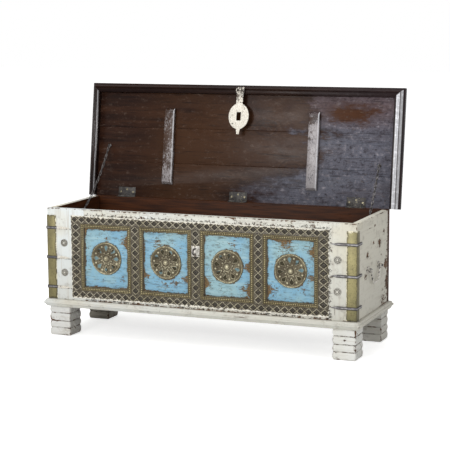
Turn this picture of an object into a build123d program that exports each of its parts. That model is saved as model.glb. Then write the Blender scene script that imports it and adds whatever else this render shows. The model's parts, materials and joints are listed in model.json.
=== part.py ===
"""Painted dowry chest with a fretted and beaded front, shown with its lid standing open.

Millimetres. X runs to the chest's right, Y to its back and Z up. While it is built, the box
is centred on X = Y = 0; at the end everything moves so that the origin is the centre of the
whole open chest's footprint on the floor.
"""

from build123d import *
from math import ceil, cos, radians, sin
import os

# ---------------------------------------------------------------- box and base
body_width = 1150.0
body_depth = 384.0
rim_height = 461.0  # top edge of the box above the floor
wall = 22.0  # thickness of every board of the box

leg_side = 83.0
leg_inset = 1.0  # leg face behind the box face
foot_band = 28.0  # heights of the four carved bands of a leg, from the floor up
lower_band = 25.0
upper_band = 29.0
neck_band = 25.0
band_bulge = 5.0
band_bevel = 0.3  # part of a band's height that each of its bevels takes

base_thickness = 26.5  # frame of boards between legs and box
base_overhang = 15.0  # its moulded edge beyond the box
base_shelf = 4.0  # flat fillet at the top of the moulding
base_ovolo = 7.0
base_step = 1.5
base_nose = 8.0  # height of the rounded nose
base_undercut = 9.0

floor_board = 12.0
floor_planks = 3
board_gap = 0.3  # play between loose boards
arris = 1.0  # eased edge of a plank

# ---------------------------------------------------------------- decorated front
stile_bare = 95.0  # bare stile beside the fretted border
rail_bare = 22.5  # bare rail above the border
field_rise = 9.0  # bare rail below the border
border_side = 37.5  # width of the fretted strips at the two sides
border_band = 28.0  # width of the fretted strips above and below
muntin_strip = 32.5  # width of the fretted strips between the panels
bead_width = 14.5
bead_rib = 6.0
bead_rise = 1.8
bay_count = 4
strip_metal = 1.2  # thickness of the sheet strips
lozenge_pitch = 28.0
lozenge_land = 7.0  # metal left between two cut lozenges
lozenge_margin = 4.5  # metal left between a lozenge and the edge

panel_recess = 4.0
panel_board = 12.0
groove_depth = 8.0
groove_play = 0.15
groove_stop = 12.0  # groove ends short of the top and bottom of a stile

medallion_radius = 58.5
medallion_metal = 2.0
medallion_rim = 7.0
medallion_rim_rise = 3.0
medallion_slope = 3.0  # width of the rim's inner and outer slopes
medallion_sides = 24
medallion_petals = 8
petal_start = 23.0  # kite-shaped opening, from the centre outwards
petal_end = 49.0
petal_half = 9.0
medallion_boss = 11.0
medallion_boss_top = 5.0
medallion_boss_rise = 5.0
medallion_boss_sides = 8

rosette_radius = 13.5
rosette_rim = 10.5
rosette_lip = 1.0  # flat top of the rim
rosette_hollow = 4.0
rosette_floor = 1.6  # metal under the hollow
rosette_rise = 4.0
rosette_sides = 16
rosette_inset = 66.0  # from the side of the box

corner_metal = 1.2
corner_front = 35.0
corner_side = 28.0
corner_drop = 25.0  # bare wood above the brass
corner_lift = 1.5
strap_metal = 3.5  # from the wood, so it stands 2.3 proud of the brass
strap_height = 10.0
strap_front = 91.0
strap_point = 26.0
strap_side = 52.0
strap_corner = 4.0  # corner cut off the end of the side arm
strap_drop = 70.0  # top strap below the rim
strap_rise = 44.5  # bottom strap above the underside of the box

# ---------------------------------------------------------------- lid
lid_board = 20.0
lid_gap = 0.3  # lid above the rim when shut
lid_planks = 3
lip_width = 33.5  # moulding round the front and sides
lip_drop = 18.0  # how far it hangs below the rim
lip_clearance = 2.0  # between moulding and box
lip_flat = 12.5  # widths of the moulding's members, from the box outwards
lip_groove = 3.5
lip_bead = 6.5
lip_groove_depth = 2.5
lip_edge = 20.0  # height of the plain outer edge
lip_round = 3.0
lid_tail = 1.5  # lid behind the hinge pins
open_lean = 7.87  # lid leans back past upright
batten_width = 40.0
batten_thickness = 16.0
batten_length = 280.0
batten_setback = 53.0  # from the back edge of the lid
batten_apart = 566.0
batten_bevel = 9.0
batten_arris = 3.0

hinge_count = 3
hinge_width = 70.0
hinge_apart = 450.0
hinge_metal = 1.8
hinge_barrel = 3.5
hinge_pin = 1.8
pin_play = 0.05
barrel_sides = 12
knuckle_count = 3
knuckle_gap = 0.5
case_leaf = 20.0
lid_leaf = 30.0
barrel_play = 0.6

# ---------------------------------------------------------------- hasp
hasp_setback = 20.0  # hasp eye in front of the box
hasp_eye_drop = 6.5  # eye hole below the moulding
hasp_eye_radius = 5.0
hasp_eye_width = 8.0
hasp_pad_width = 24.0
hasp_pad_depth = 16.0
hasp_pad_metal = 1.5
link_bar = 2.0
link_bar_sides = 8
link_play = 0.3
link_drop = 12.0  # between the link's two bars
link_inner = 26.0
link_cheek = 3.0
link_cheek_half = 3.5
link_cheek_corner = 2.0
hasp_metal = 3.0
hasp_length = 153.0
hasp_strap = 25.0
hasp_half_width = 39.0
hasp_half_height = 47.0
hasp_slot_drop = 87.5
hasp_slot_width = 17.0
hasp_slot_height = 31.0
hasp_tail = 16.0
hasp_tip = 10.0
hasp_eye_wall = 2.2
hasp_tilt_open = 11.0  # hang of link and hasp from upright, lid open
hasp_tilt_shut = 6.0
hasp_latch_swing = 10.5  # from hanging free to lying over the staple

staple_bar = 2.7  # half the side of the square bar
staple_half_height = 9.0
staple_reach = 28.0
staple_plate_width = 30.0
staple_plate_height = 38.0
staple_plate_metal = 2.0

# ---------------------------------------------------------------- side handles
handle_sides = 8  # forged bars and pads are eight-sided
handle_low = 174.0  # pivot of the bail below the rim
handle_forward = 8.0  # handle centre in front of the box centre
handle_span = 125.0
handle_drop = 49.0
handle_bar = 3.5
handle_grip = 56.0
handle_shoulder = 10.5  # from the eye's middle to where the bar turns down
handle_stub = 4.0  # bar beyond the eye
handle_head = 5.2
handle_head_width = 2.0
handle_eye_play = 0.5
handle_eye_wall = 4.2
handle_eye_width = 5.0
handle_pad = 13.0
handle_pad_metal = 2.0
handle_bend = 6.0

# ---------------------------------------------------------------- stay chains
chain_wire = 1.2  # half the thickness of the wire
chain_inner = 3.8  # inner width of a link
link_corner = 1.8  # corner cut off the outside of a link
chain_pitch = 20.0
chain_play = 0.8
chain_eye = 3.6  # inner radius of an eye
chain_eye_sides = 8
chain_pad = 6.5
chain_pad_metal = 1.5
chain_neck = 1.0
chain_neck_side = 3.0
wall_eye_back = 30.0  # wall eye behind the box centre
wall_eye_drop = 34.0  # wall eye below the rim
lid_eye_inset = 45.0  # lid eye from the side of the box
left_eye_reach = 189.0  # lid eye from the back edge of the lid
right_eye_reach = 151.0
left_sag = 14.0
right_sag = 7.0

# ---------------------------------------------------------------- worked out
half_width = body_width / 2
half_depth = body_depth / 2
inner_half = half_width - wall
inner_depth = body_depth - 2 * wall
face_y = -half_depth
leg_height = foot_band + lower_band + upper_band + neck_band
box_bottom = leg_height + base_thickness
base_rail = base_overhang + leg_inset + leg_side

field_bottom = box_bottom + field_rise
field_width = body_width - 2 * stile_bare
field_height = rim_height - rail_bare - field_bottom
strip_height = field_height - 2 * border_band
opening_height = strip_height - 2 * bead_width
muntin_count = bay_count - 1
between_borders = field_width - 2 * border_side
opening_width = (between_borders - muntin_count * muntin_strip) / bay_count - 2 * bead_width
bay_pitch = opening_width + 2 * bead_width + muntin_strip
opening_bottom = field_bottom + border_band + bead_width
opening_top = opening_bottom + opening_height
opening_z = (opening_bottom + opening_top) / 2
stile_width = half_width - field_width / 2 + border_side + bead_width
muntin_width = muntin_strip + 2 * bead_width
panel_y = face_y + panel_recess

strap_top = rim_height - strap_drop
strap_bottom = box_bottom + strap_rise
strap_middle = (strap_top + strap_bottom) / 2
rosette_high = (strap_top + strap_middle) / 2
rosette_low = (strap_middle + strap_bottom) / 2

pin_y = half_depth + hinge_barrel + knuckle_gap
pin_z = rim_height + lid_gap / 2
lid_bottom = rim_height + lid_gap
lid_top = lid_bottom + lid_board
lid_back = pin_y + lid_tail
lid_half = half_width + lip_clearance
lid_front = face_y - lip_clearance
lip_front = lid_front - lip_width
lip_bottom = lid_bottom - lip_drop
open_angle = 90 + open_lean

hasp_y = face_y - hasp_setback
hasp_z = lip_bottom - hasp_eye_drop
link_ratio = (hasp_tilt_open - hasp_tilt_shut) / open_angle - 1

handle_height = rim_height - handle_low
handle_x = half_width + handle_pad_metal + handle_bar + handle_eye_play + handle_eye_wall
chain_eye_outer = chain_eye + 2 * chain_wire
chain_stand = chain_pad_metal + chain_neck + chain_eye_outer


# ---------------------------------------------------------------- helpers
def bay_x(index):
    """Middle of a panel bay, counted from the left; halves are muntins."""
    return (index - muntin_count / 2) * bay_pitch


def block(x, y, z):
    """Box given by its low and high bounds along each axis."""
    size = (x[1] - x[0], y[1] - y[0], z[1] - z[0])
    middle = ((x[0] + x[1]) / 2, (y[0] + y[1]) / 2, (z[0] + z[1]) / 2)
    return Pos(*middle) * Box(*size)


def prism(points, plane, depth):
    """Closed outline of points on a plane, extruded along the plane's normal."""
    return extrude(plane * make_face(Polyline(*points, close=True)), depth, dir=plane.z_dir)


def bar_x(radius, x, y, z):
    """Round bar along X between two bounds."""
    return Pos((x[0] + x[1]) / 2, y, z) * Rot(0, 90, 0) * Cylinder(radius, x[1] - x[0])


def flat_bar_x(apothem, sides, x, y, z):
    """Bar along X with flat sides, given by the distance from its middle to a flat."""
    section = Plane(origin=(x[0], y, z), z_dir=(1, 0, 0)) * RegularPolygon(apothem, sides, major_radius=False)
    return extrude(section, x[1] - x[0])


def tapered(low_radius, high_radius, sides, low, high):
    """Many-sided block about Z that narrows or widens from its foot to its top."""
    foot = Pos(0, 0, low) * RegularPolygon(low_radius, sides)
    top = Pos(0, 0, high) * RegularPolygon(high_radius, sides)
    return loft([foot, top], ruled=True)


def mirrored(shape):
    """The same piece on the other side of the chest."""
    return mirror(shape, about=Plane.YZ)


def spread(count, pitch):
    """Evenly spaced places about zero."""
    return [(index - (count - 1) / 2) * pitch for index in range(count)]


def turned(shape, y, z, angle):
    """The piece turned about a line along X through (y, z)."""
    return shape.rotate(Axis((0, y, z), (1, 0, 0)), angle)


def turned_point(point, y, z, angle):
    """A point turned about the same kind of line."""
    dy = point[1] - y
    dz = point[2] - z
    c = cos(radians(angle))
    s = sin(radians(angle))
    return (point[0], y + dy * c - dz * s, z + dy * s + dz * c)


def opened(shape):
    """A piece of the lid, modelled shut, swung to the open stop."""
    return turned(shape, pin_y, pin_z, -open_angle)


def mitred_strip(outline, length, width, left_mitre=True, right_mitre=True):
    """Moulding along X whose outer edge lies at y = 0 and faces -Y.

    The outline's edges are given as (inward, height); an end is cut at 45 degrees or square.
    """
    bar = extrude(Plane.YZ * make_face(outline), length / 2, both=True)
    left = width if left_mitre else 0
    right = width if right_mitre else 0
    end = length / 2
    corners = [(-end, 0), (end, 0), (end - right, width), (left - end, width)]
    return bar & prism(corners, Plane.XY, lid_top)


# ---------------------------------------------------------------- legs and base frame
def leg():
    """Square block carved all round into four bands with bevelled edges."""
    half = leg_side / 2
    waist = half - band_bulge
    profile = []
    low = 0.0
    for height in (foot_band, lower_band, upper_band, neck_band):
        high = low + height
        bevel = band_bevel * height
        profile += [(waist, low), (half, low + bevel), (half, high - bevel)]
        low = high
    profile.append((waist, leg_height))
    other_side = [(-x, z) for x, z in reversed(profile)]
    outline = make_face(Polyline(*profile, *other_side, close=True))
    return extrude(Plane.XZ * outline, half, both=True) & extrude(Plane.YZ * outline, half, both=True)


def legs():
    x = half_width - leg_inset - leg_side / 2
    y = half_depth - leg_inset - leg_side / 2
    one = leg()
    places = {"front_left": (-x, -y), "front_right": (x, -y), "back_left": (-x, y), "back_right": (x, y)}
    return {f"leg_{name}": Pos(px, py, 0) * one for name, (px, py) in places.items()}


def base_outline():
    """Section of a base rail: flat fillet, ovolo, small step, rounded nose and undercut."""
    shelf = base_overhang - base_shelf
    step = shelf - base_ovolo
    shoulder = box_bottom - base_ovolo
    nose_top = shoulder - base_step
    nose_bottom = nose_top - base_nose
    bulge = base_ovolo * cos(radians(45))
    return [
        Line((base_rail, leg_height), (base_rail, box_bottom)),
        Line((base_rail, box_bottom), (shelf, box_bottom)),
        ThreePointArc((shelf, box_bottom), (shelf - bulge, shoulder + bulge), (step, shoulder)),
        Line((step, shoulder), (step, nose_top)),
        ThreePointArc((step, nose_top), (0, (nose_top + nose_bottom) / 2), (step, nose_bottom)),
        Line((step, nose_bottom), (base_undercut, leg_height)),
        Line((base_undercut, leg_height), (base_rail, leg_height)),
    ]


def base_rails():
    """Four mitred boards, moulded on their outer edges."""
    long_rail = mitred_strip(base_outline(), body_width + 2 * base_overhang, base_rail)
    short_rail = mitred_strip(base_outline(), body_depth + 2 * base_overhang, base_rail)
    front = Pos(0, face_y - base_overhang, 0) * long_rail
    left = Pos(-half_width - base_overhang, 0, 0) * Rot(0, 0, -90) * short_rail
    return {
        "base_front_rail": front,
        "base_back_rail": Rot(0, 0, 180) * front,
        "base_left_rail": left,
        "base_right_rail": mirrored(left),
    }


# ---------------------------------------------------------------- box boards
def groove(x, z):
    """Slot that holds a panel's edge or a rail's tongue."""
    return block(x, (panel_y - groove_play, panel_y + panel_board + groove_play), z)


def tongue(x, z):
    """Panel-thick piece that enters a groove."""
    return block(x, (panel_y, panel_y + panel_board), z)


def front_frame():
    """Stiles, rails and muntins, grooved for the panels and joined by stub tongues."""
    y = (face_y, face_y + wall)
    inner = half_width - stile_width
    deep = groove_depth + groove_play
    stile = block((inner, half_width), y, (box_bottom, rim_height))
    stile -= groove((inner, inner + deep), (box_bottom + groove_stop, rim_height - groove_stop))

    bottom_rail = block((-inner, inner), y, (box_bottom, opening_bottom))
    bottom_rail -= groove((-inner, inner), (opening_bottom - deep, opening_bottom))
    top_rail = block((-inner, inner), y, (opening_top, rim_height))
    top_rail -= groove((-inner, inner), (opening_top, opening_top + deep))
    bottom_held = (box_bottom + groove_stop + groove_play, opening_bottom - deep)
    top_held = (opening_top + deep, rim_height - groove_stop - groove_play)
    for side in (-1, 1):
        ends = sorted((side * inner, side * (inner + groove_depth)))
        bottom_rail += tongue(ends, bottom_held)
        top_rail += tongue(ends, top_held)

    muntins = []
    for index in range(muntin_count):
        x = bay_x(index + 0.5)
        left = x - muntin_width / 2
        right = x + muntin_width / 2
        bar = block((left, right), y, (opening_bottom, opening_top))
        bar -= groove((left, left + deep), (opening_bottom, opening_top))
        bar -= groove((right - deep, right), (opening_bottom, opening_top))
        held = (opening_bottom - groove_depth, opening_top + groove_depth)
        muntins.append(bar + tongue((left + deep, right - deep), held))
    return {
        "front_left_stile": mirrored(stile),
        "front_right_stile": stile,
        "front_bottom_rail": bottom_rail,
        "front_top_rail": top_rail,
        "front_muntins": muntins,
    }


def front_panels():
    """Painted boards, held loose in the grooves."""
    half = opening_width / 2 + groove_depth - board_gap
    z = (opening_bottom - groove_depth + board_gap, opening_top + groove_depth - board_gap)
    panels = {}
    for index in range(bay_count):
        x = (bay_x(index) - half, bay_x(index) + half)
        panels[f"front_panel_{index + 1}"] = tongue(x, z)
    return panels


def floor_boards():
    """Loose planks on the base frame, inside the box."""
    plank = (inner_depth - 2 * board_gap) / floor_planks
    x = (board_gap - inner_half, inner_half - board_gap)
    boards = []
    for middle in spread(floor_planks, plank):
        y = (middle - plank / 2, middle + plank / 2)
        board = block(x, y, (box_bottom, box_bottom + floor_board))
        top_edges = board.edges().filter_by(Axis.X).group_by(Axis.Z)[-1]
        boards.append(chamfer(top_edges, arris))
    return boards


def box_boards():
    """Sides between front and back, a full-width back, and the floor."""
    z = (box_bottom, rim_height)
    side = block((inner_half, half_width), (-inner_depth / 2, inner_depth / 2), z)
    back = block((-half_width, half_width), (inner_depth / 2, half_depth), z)
    for x in spread(hinge_count, hinge_apart):
        half = hinge_width / 2 + groove_play
        low = half_depth - case_leaf - groove_play
        back -= block((x - half, x + half), (low, half_depth), (rim_height - hinge_metal, rim_height))
    return {
        "left_side_board": mirrored(side),
        "right_side_board": side,
        "back_board": back,
        "floor_boards": floor_boards(),
    }


# ---------------------------------------------------------------- sheet metal on the front
def lozenge_strip(length, width):
    """Sheet strip along X, pierced with a row of lozenges."""
    count = round(length / lozenge_pitch)
    pitch = length / count
    strip = extrude(Rectangle(length, width), strip_metal)
    half_long = (pitch - lozenge_land) / 2
    half_wide = width / 2 - lozenge_margin
    corners = [(-half_long, 0), (0, -half_wide), (half_long, 0), (0, half_wide)]
    lozenge = prism(corners, Plane.XY, strip_metal)
    return strip - [Pos(x, 0, 0) * lozenge for x in spread(count, pitch)]


def on_face(shape, x, z, turn=0.0):
    """Sheet work drawn flat in XY, turned in its plane and laid on the front."""
    return Pos(x, face_y, z) * Rot(90, 0, 0) * Rot(0, 0, turn) * shape


def fretted_border():
    """Frame of four pierced strips."""
    long_strip = lozenge_strip(field_width, border_band)
    side_strip = lozenge_strip(strip_height, border_side)
    x = field_width / 2 - border_side / 2
    z = opening_z
    high = z + strip_height / 2 + border_band / 2
    low = z - strip_height / 2 - border_band / 2
    return [
        on_face(long_strip, 0, high),
        on_face(long_strip, 0, low, 180),
        on_face(side_strip, -x, z, 90),
        on_face(side_strip, x, z, 90),
    ]


def fretted_muntins():
    """One pierced strip on each muntin."""
    strip = lozenge_strip(strip_height, muntin_strip)
    return [on_face(strip, bay_x(index + 0.5), opening_z, 90) for index in range(muntin_count)]


def bead_frame():
    """Rectangular strip round one panel, with a raised rib along its middle."""
    outer_x = opening_width + 2 * bead_width
    outer_z = opening_height + 2 * bead_width
    flat = Rectangle(outer_x, outer_z) - Rectangle(opening_width, opening_height)
    inset = bead_width - bead_rib
    rib = Rectangle(outer_x - inset, outer_z - inset)
    rib -= Rectangle(opening_width + inset, opening_height + inset)
    rib_body = extrude(rib, strip_metal + bead_rise)
    rib_top = rib_body.edges().group_by(Axis.Z)[-1]
    return extrude(flat, strip_metal) + chamfer(rib_top, bead_rise * 0.8)


def medallion():
    """Pierced disc with a raised rim and a faceted boss."""
    top = medallion_metal + medallion_rim_rise
    dish = medallion_radius - medallion_rim
    disc = tapered(medallion_radius, medallion_radius - medallion_slope, medallion_sides, 0, top)
    disc -= tapered(dish, dish + medallion_slope, medallion_sides, medallion_metal, top)
    boss_top = medallion_metal + medallion_boss_rise
    disc += tapered(medallion_boss, medallion_boss_top, medallion_boss_sides, medallion_metal, boss_top)
    belly = petal_start + 0.7 * (petal_end - petal_start)
    corners = [(petal_start, 0), (belly, -petal_half), (petal_end, 0), (belly, petal_half)]
    petal = prism(corners, Plane.XY, medallion_metal)
    turns = [index * 360 / medallion_petals for index in range(medallion_petals)]
    return disc - [Rot(0, 0, turn) * petal for turn in turns]


def rosette():
    """Turned stud with a raised rim round a shallow hollow."""
    stud = tapered(rosette_radius, rosette_rim, rosette_sides, 0, rosette_rise)
    return stud - tapered(rosette_hollow, rosette_rim - rosette_lip, rosette_sides, rosette_floor, rosette_rise)


def rosettes():
    one = rosette()
    x = half_width - rosette_inset
    return [on_face(one, side * x, z) for side in (-1, 1) for z in (rosette_high, rosette_low)]


def corner_brass():
    """Thin angle folded round the right front corner."""
    x = half_width
    z = (box_bottom + corner_lift, rim_height - corner_drop)
    front = block((x - corner_front, x + corner_metal), (face_y - corner_metal, face_y), z)
    side = block((x, x + corner_metal), (face_y - corner_metal, face_y + corner_side), z)
    return front + side


def corner_straps():
    """Forged straps round the right front corner, pointed in front and clipped at the side."""
    x = half_width
    half = strap_height / 2
    out = x + strap_metal
    front_outline = [
        (x - strap_front, 0),
        (x - strap_front + strap_point, -half),
        (out, -half),
        (out, half),
        (x - strap_front + strap_point, half),
    ]
    front = extrude(Plane.XZ * make_face(Polyline(*front_outline, close=True)), strap_metal)
    arm_outline = [
        (0, -half),
        (strap_side - strap_corner, -half),
        (strap_side, strap_corner - half),
        (strap_side, half - strap_corner),
        (strap_side - strap_corner, half),
        (0, half),
    ]
    side = prism(arm_outline, Plane.YZ, strap_metal)
    corner = block((x, out), (face_y - strap_metal, face_y), (-half, half))
    strap = Pos(0, face_y, 0) * front + Pos(x, face_y, 0) * side + corner
    brass = corner_brass()
    return [Pos(0, 0, z) * strap - brass for z in (strap_top, strap_middle, strap_bottom)]


def front_metal():
    brass = corner_brass()
    straps = corner_straps()
    stud = medallion()
    return {
        "fretted_border_strips": fretted_border(),
        "fretted_muntin_strips": fretted_muntins(),
        "bead_frames": [on_face(bead_frame(), bay_x(index), opening_z) for index in range(bay_count)],
        "medallions": [
            Pos(0, panel_recess, 0) * on_face(stud, bay_x(index), opening_z) for index in range(bay_count)
        ],
        "rosettes": rosettes(),
        "left_corner_brass": mirrored(brass),
        "right_corner_brass": brass,
        "left_corner_straps": [mirrored(strap) for strap in straps],
        "right_corner_straps": straps,
    }


# ---------------------------------------------------------------- lid, modelled shut
def lip_outline():
    """Section of the lid moulding: plain edge above, then cove, bead, groove and flat."""
    bead = lip_width - lip_flat - lip_groove - lip_bead
    channel = bead + lip_bead
    edge_low = lid_top - lip_edge
    bead_high = lip_bottom + lip_bead / 2
    channel_z = lip_bottom + lip_groove_depth
    corner = lip_round * (1 - cos(radians(45)))
    hollow = (0.65 * bead, 0.65 * edge_low + 0.35 * bead_high)
    return [
        Line((lip_width, lip_bottom), (lip_width, lid_top)),
        Line((lip_width, lid_top), (lip_round, lid_top)),
        ThreePointArc((lip_round, lid_top), (corner, lid_top - corner), (0, lid_top - lip_round)),
        Line((0, lid_top - lip_round), (0, edge_low)),
        ThreePointArc((0, edge_low), hollow, (bead, bead_high)),
        ThreePointArc((bead, bead_high), (bead + lip_bead / 2, lip_bottom), (channel, channel_z)),
        Line((channel, channel_z), (channel + lip_groove, channel_z)),
        Line((channel + lip_groove, channel_z), (channel + lip_groove, lip_bottom)),
        Line((channel + lip_groove, lip_bottom), (lip_width, lip_bottom)),
    ]


def lid_mouldings():
    """Front moulding mitred at both ends; sides mitred in front and square behind."""
    front = mitred_strip(lip_outline(), 2 * (lid_half + lip_width), lip_width)
    length = lid_back - lip_front
    side = mitred_strip(lip_outline(), length, lip_width, left_mitre=False)
    left = Pos(-lid_half - lip_width, lip_front + length / 2, 0) * Rot(0, 0, -90) * side
    return {
        "lid_front_moulding": Pos(0, lip_front, 0) * front,
        "lid_left_moulding": left,
        "lid_right_moulding": mirrored(left),
    }


def hinge_leaf_end():
    """Where both leaves stop short of the barrel."""
    return pin_y - hinge_barrel - barrel_play


def lid_boards():
    """Planks side by side, with seats for the hinge leaves and room for the barrels."""
    names = ("front", "middle", "back")
    plank = (lid_back - lid_front) / lid_planks
    seats = []
    for x in spread(hinge_count, hinge_apart):
        half = hinge_width / 2 + groove_play
        low = hinge_leaf_end() - lid_leaf - groove_play
        seats.append(block((x - half, x + half), (low, lid_back), (lid_bottom, lid_bottom + hinge_metal)))
        seats.append(bar_x(hinge_barrel + barrel_play, (x - half, x + half), pin_y, pin_z))
    boards = {}
    for index in range(lid_planks):
        y = lid_front + index * plank
        board = block((-lid_half, lid_half), (y, y + plank), (lid_bottom, lid_top))
        board = chamfer(board.edges().filter_by(Axis.X), arris)
        name = names[index] if lid_planks == len(names) else str(index + 1)
        boards[f"lid_plank_{name}"] = board - seats
    return boards


def lid_batten():
    """Cleat across the planks, bevelled at its ends and eased along its edges."""
    x = (-batten_width / 2, batten_width / 2)
    high = lid_back - batten_setback
    batten = block(x, (high - batten_length, high), (lid_bottom - batten_thickness, lid_bottom))
    ends = batten.edges().filter_by(Axis.X).group_by(Axis.Z)[0]
    batten = chamfer(ends, batten_bevel)
    long_edges = batten.edges().filter_by(Axis.Y).group_by(Axis.Z)[0]
    return chamfer(long_edges, batten_arris)


def knuckles(x, own):
    """Barrel lengths of one hinge that belong to one leaf: own is 0 or 1."""
    width = hinge_width / knuckle_count
    places = spread(knuckle_count, width)
    half = (width - knuckle_gap) / 2
    return [(x + place - half, x + place + half) for place in places[own::2]]


def hinge_leaf(x, y, z, own):
    """Leaf plate, its tabs and its knuckles, bored for the pin."""
    half = hinge_width / 2
    leaf = block((x - half, x + half), y, z)
    for span in knuckles(x, own):
        leaf += block(span, (y[1], pin_y), z)
        leaf += flat_bar_x(hinge_barrel, barrel_sides, span, pin_y, pin_z)
    return leaf - flat_bar_x(hinge_pin + pin_play, barrel_sides, (x - half, x + half), pin_y, pin_z)


def hinges():
    """Case leaves, lid leaves (modelled shut) and pins."""
    end = hinge_leaf_end()
    half = hinge_width / 2
    parts = {"case_hinge_leaves": [], "lid_hinge_leaves": [], "hinge_pins": []}
    for x in spread(hinge_count, hinge_apart):
        case_y = (half_depth - case_leaf, end)
        case_z = (rim_height - hinge_metal, rim_height)
        lid_z = (lid_bottom, lid_bottom + hinge_metal)
        parts["case_hinge_leaves"].append(hinge_leaf(x, case_y, case_z, 0))
        parts["lid_hinge_leaves"].append(hinge_leaf(x, (end - lid_leaf, end), lid_z, 1))
        parts["hinge_pins"].append(bar_x(hinge_pin, (x - half, x + half), pin_y, pin_z))
    return parts


# ---------------------------------------------------------------- hasp and staple
def eye_lug(radius, hole, width, root):
    """Flat eye across X: a round end about the origin, joined to a root above it."""
    half = width / 2
    lug = bar_x(radius, (-half, half), 0, 0) + block((-half, half), (-radius, radius), (0, root))
    return lug - bar_x(hole, (-half, half), 0, 0)


def hasp_eye():
    """Eye on a small plate under the front moulding, modelled shut."""
    x = (-hasp_pad_width / 2, hasp_pad_width / 2)
    y = (hasp_y - hasp_pad_depth / 2, hasp_y + hasp_pad_depth / 2)
    pad = block(x, y, (lip_bottom - hasp_pad_metal, lip_bottom))
    root = hasp_eye_drop - hasp_pad_metal
    lug = eye_lug(hasp_eye_radius, link_bar + link_play, hasp_eye_width, root)
    return pad + Pos(0, hasp_y, hasp_z) * lug


def hasp_link():
    """Two cheeks and two bars; the upper bar is at the origin and the link hangs down."""
    inner = link_inner / 2
    outer = inner + link_cheek
    cheek = Rectangle(2 * link_cheek_half, link_drop + 2 * link_cheek_half)
    cheek = chamfer(cheek.vertices(), link_cheek_corner)
    plate = Plane.YZ * extrude(cheek, link_cheek)
    link = Pos(inner, 0, -link_drop / 2) * plate + Pos(-outer, 0, -link_drop / 2) * plate
    apothem = link_bar * cos(radians(180 / link_bar_sides))
    for z in (0, -link_drop):
        link += flat_bar_x(apothem, link_bar_sides, (-inner, inner), 0, z)
    return link


def hasp():
    """Strap with a rolled eye at the origin, a broad oval plate with a slot, and a tail."""
    slot_z = -hasp_slot_drop
    strap_top = -link_bar - link_play
    tail_top = slot_z - hasp_half_height * 0.9
    outline = Pos(0, (strap_top + slot_z) / 2) * Rectangle(hasp_strap, strap_top - slot_z)
    outline += Pos(0, slot_z) * Ellipse(hasp_half_width, hasp_half_height)
    tail = [
        (-hasp_tail / 2, tail_top),
        (hasp_tail / 2, tail_top),
        (hasp_tip / 2, -hasp_length),
        (-hasp_tip / 2, -hasp_length),
    ]
    outline += make_face(Polyline(*tail, close=True))
    outline -= Pos(0, slot_z) * Rectangle(hasp_slot_width, hasp_slot_height)
    plate = Pos(0, hasp_metal / 2, 0) * extrude(Plane.XZ * outline, hasp_metal)
    span = (-hasp_strap / 2, hasp_strap / 2)
    hole = link_bar + link_play
    rolled = bar_x(hole + hasp_eye_wall, span, 0, 0)
    return plate + rolled - bar_x(hole, span, 0, 0)


def hang(angle):
    """Unit vector of a piece that hangs tilted forwards from upright by an angle."""
    return (0, -sin(radians(angle)), -cos(radians(angle)))


def step(point, direction, length):
    return tuple(p + d * length for p, d in zip(point, direction))


shut_eye = (0, hasp_y, hasp_z)
shut_link_end = step(shut_eye, hang(hasp_tilt_shut), link_drop)
staple_z = step(shut_link_end, hang(hasp_tilt_shut - hasp_latch_swing), hasp_slot_drop)[2]
open_eye = turned_point(shut_eye, pin_y, pin_z, -open_angle)
open_link_end = step(open_eye, hang(hasp_tilt_open), link_drop)


def staple():
    """Square bar bent into a loop that stands out from the middle muntin."""
    root_y = face_y - strip_metal - staple_plate_metal
    bend_y = face_y - staple_reach + staple_bar + staple_half_height
    x = (-staple_bar, staple_bar)
    shapes = []
    for radius in (staple_half_height + staple_bar, staple_half_height - staple_bar):
        z = (staple_z - radius, staple_z + radius)
        shapes.append(block(x, (bend_y, root_y), z) + bar_x(radius, x, bend_y, staple_z))
    return shapes[0] - shapes[1]


def staple_plate():
    y = (face_y - strip_metal - staple_plate_metal, face_y - strip_metal)
    x = (-staple_plate_width / 2, staple_plate_width / 2)
    z = (staple_z - staple_plate_height / 2, staple_z + staple_plate_height / 2)
    plate = block(x, y, z)
    return chamfer(plate.faces().sort_by(Axis.Y)[0].edges(), arris)


# ---------------------------------------------------------------- side handles
def handle_eyes():
    """Two eyes on plates on the right side; the bail turns about a line along Y."""
    plate = Plane(origin=(half_width, 0, handle_height), z_dir=(1, 0, 0))
    pad = plate * extrude(RegularPolygon(handle_pad, handle_sides), handle_pad_metal)
    hole = handle_bar + handle_eye_play
    outside = RegularPolygon(hole + handle_eye_wall, handle_sides, major_radius=False)
    ring = Plane.XZ * extrude(outside - Circle(hole), handle_eye_width / 2, both=True)
    eye = pad + Pos(handle_x, 0, handle_height) * ring
    return [Pos(0, y - handle_forward, 0) * eye for y in (-handle_span / 2, handle_span / 2)]


def bail():
    """Bar bent into a hanging loop, with stubs through both eyes and upset ends.

    Each bend is forged in two steps, which lie at the same distance from its corner.
    """
    half = handle_span / 2
    end = half + handle_eye_width / 2 + handle_stub
    turn = half - handle_shoulder
    grip = handle_grip / 2
    corners = [(end, 0), (turn, 0), (grip, -handle_drop), (-grip, -handle_drop), (-turn, 0), (-end, 0)]
    points = [Vector(0, y, z) for y, z in corners]
    bends = [points[0]]
    for before, corner, after in zip(points, points[1:], points[2:]):
        bends.append(corner + (before - corner).normalized() * handle_bend)
        bends.append(corner + (after - corner).normalized() * handle_bend)
    bends.append(points[-1])
    section = Plane(origin=points[0], z_dir=(0, -1, 0)) * RegularPolygon(handle_bar, handle_sides)
    bar = sweep(section, path=Polyline(*bends), transition=Transition.RIGHT)
    head = Plane.XZ * extrude(RegularPolygon(handle_head, handle_sides), handle_head_width / 2, both=True)
    for side in (-1, 1):
        bar += Pos(0, side * (end - handle_head_width / 2), 0) * head
    return Pos(handle_x, -handle_forward, handle_height) * bar


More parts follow.
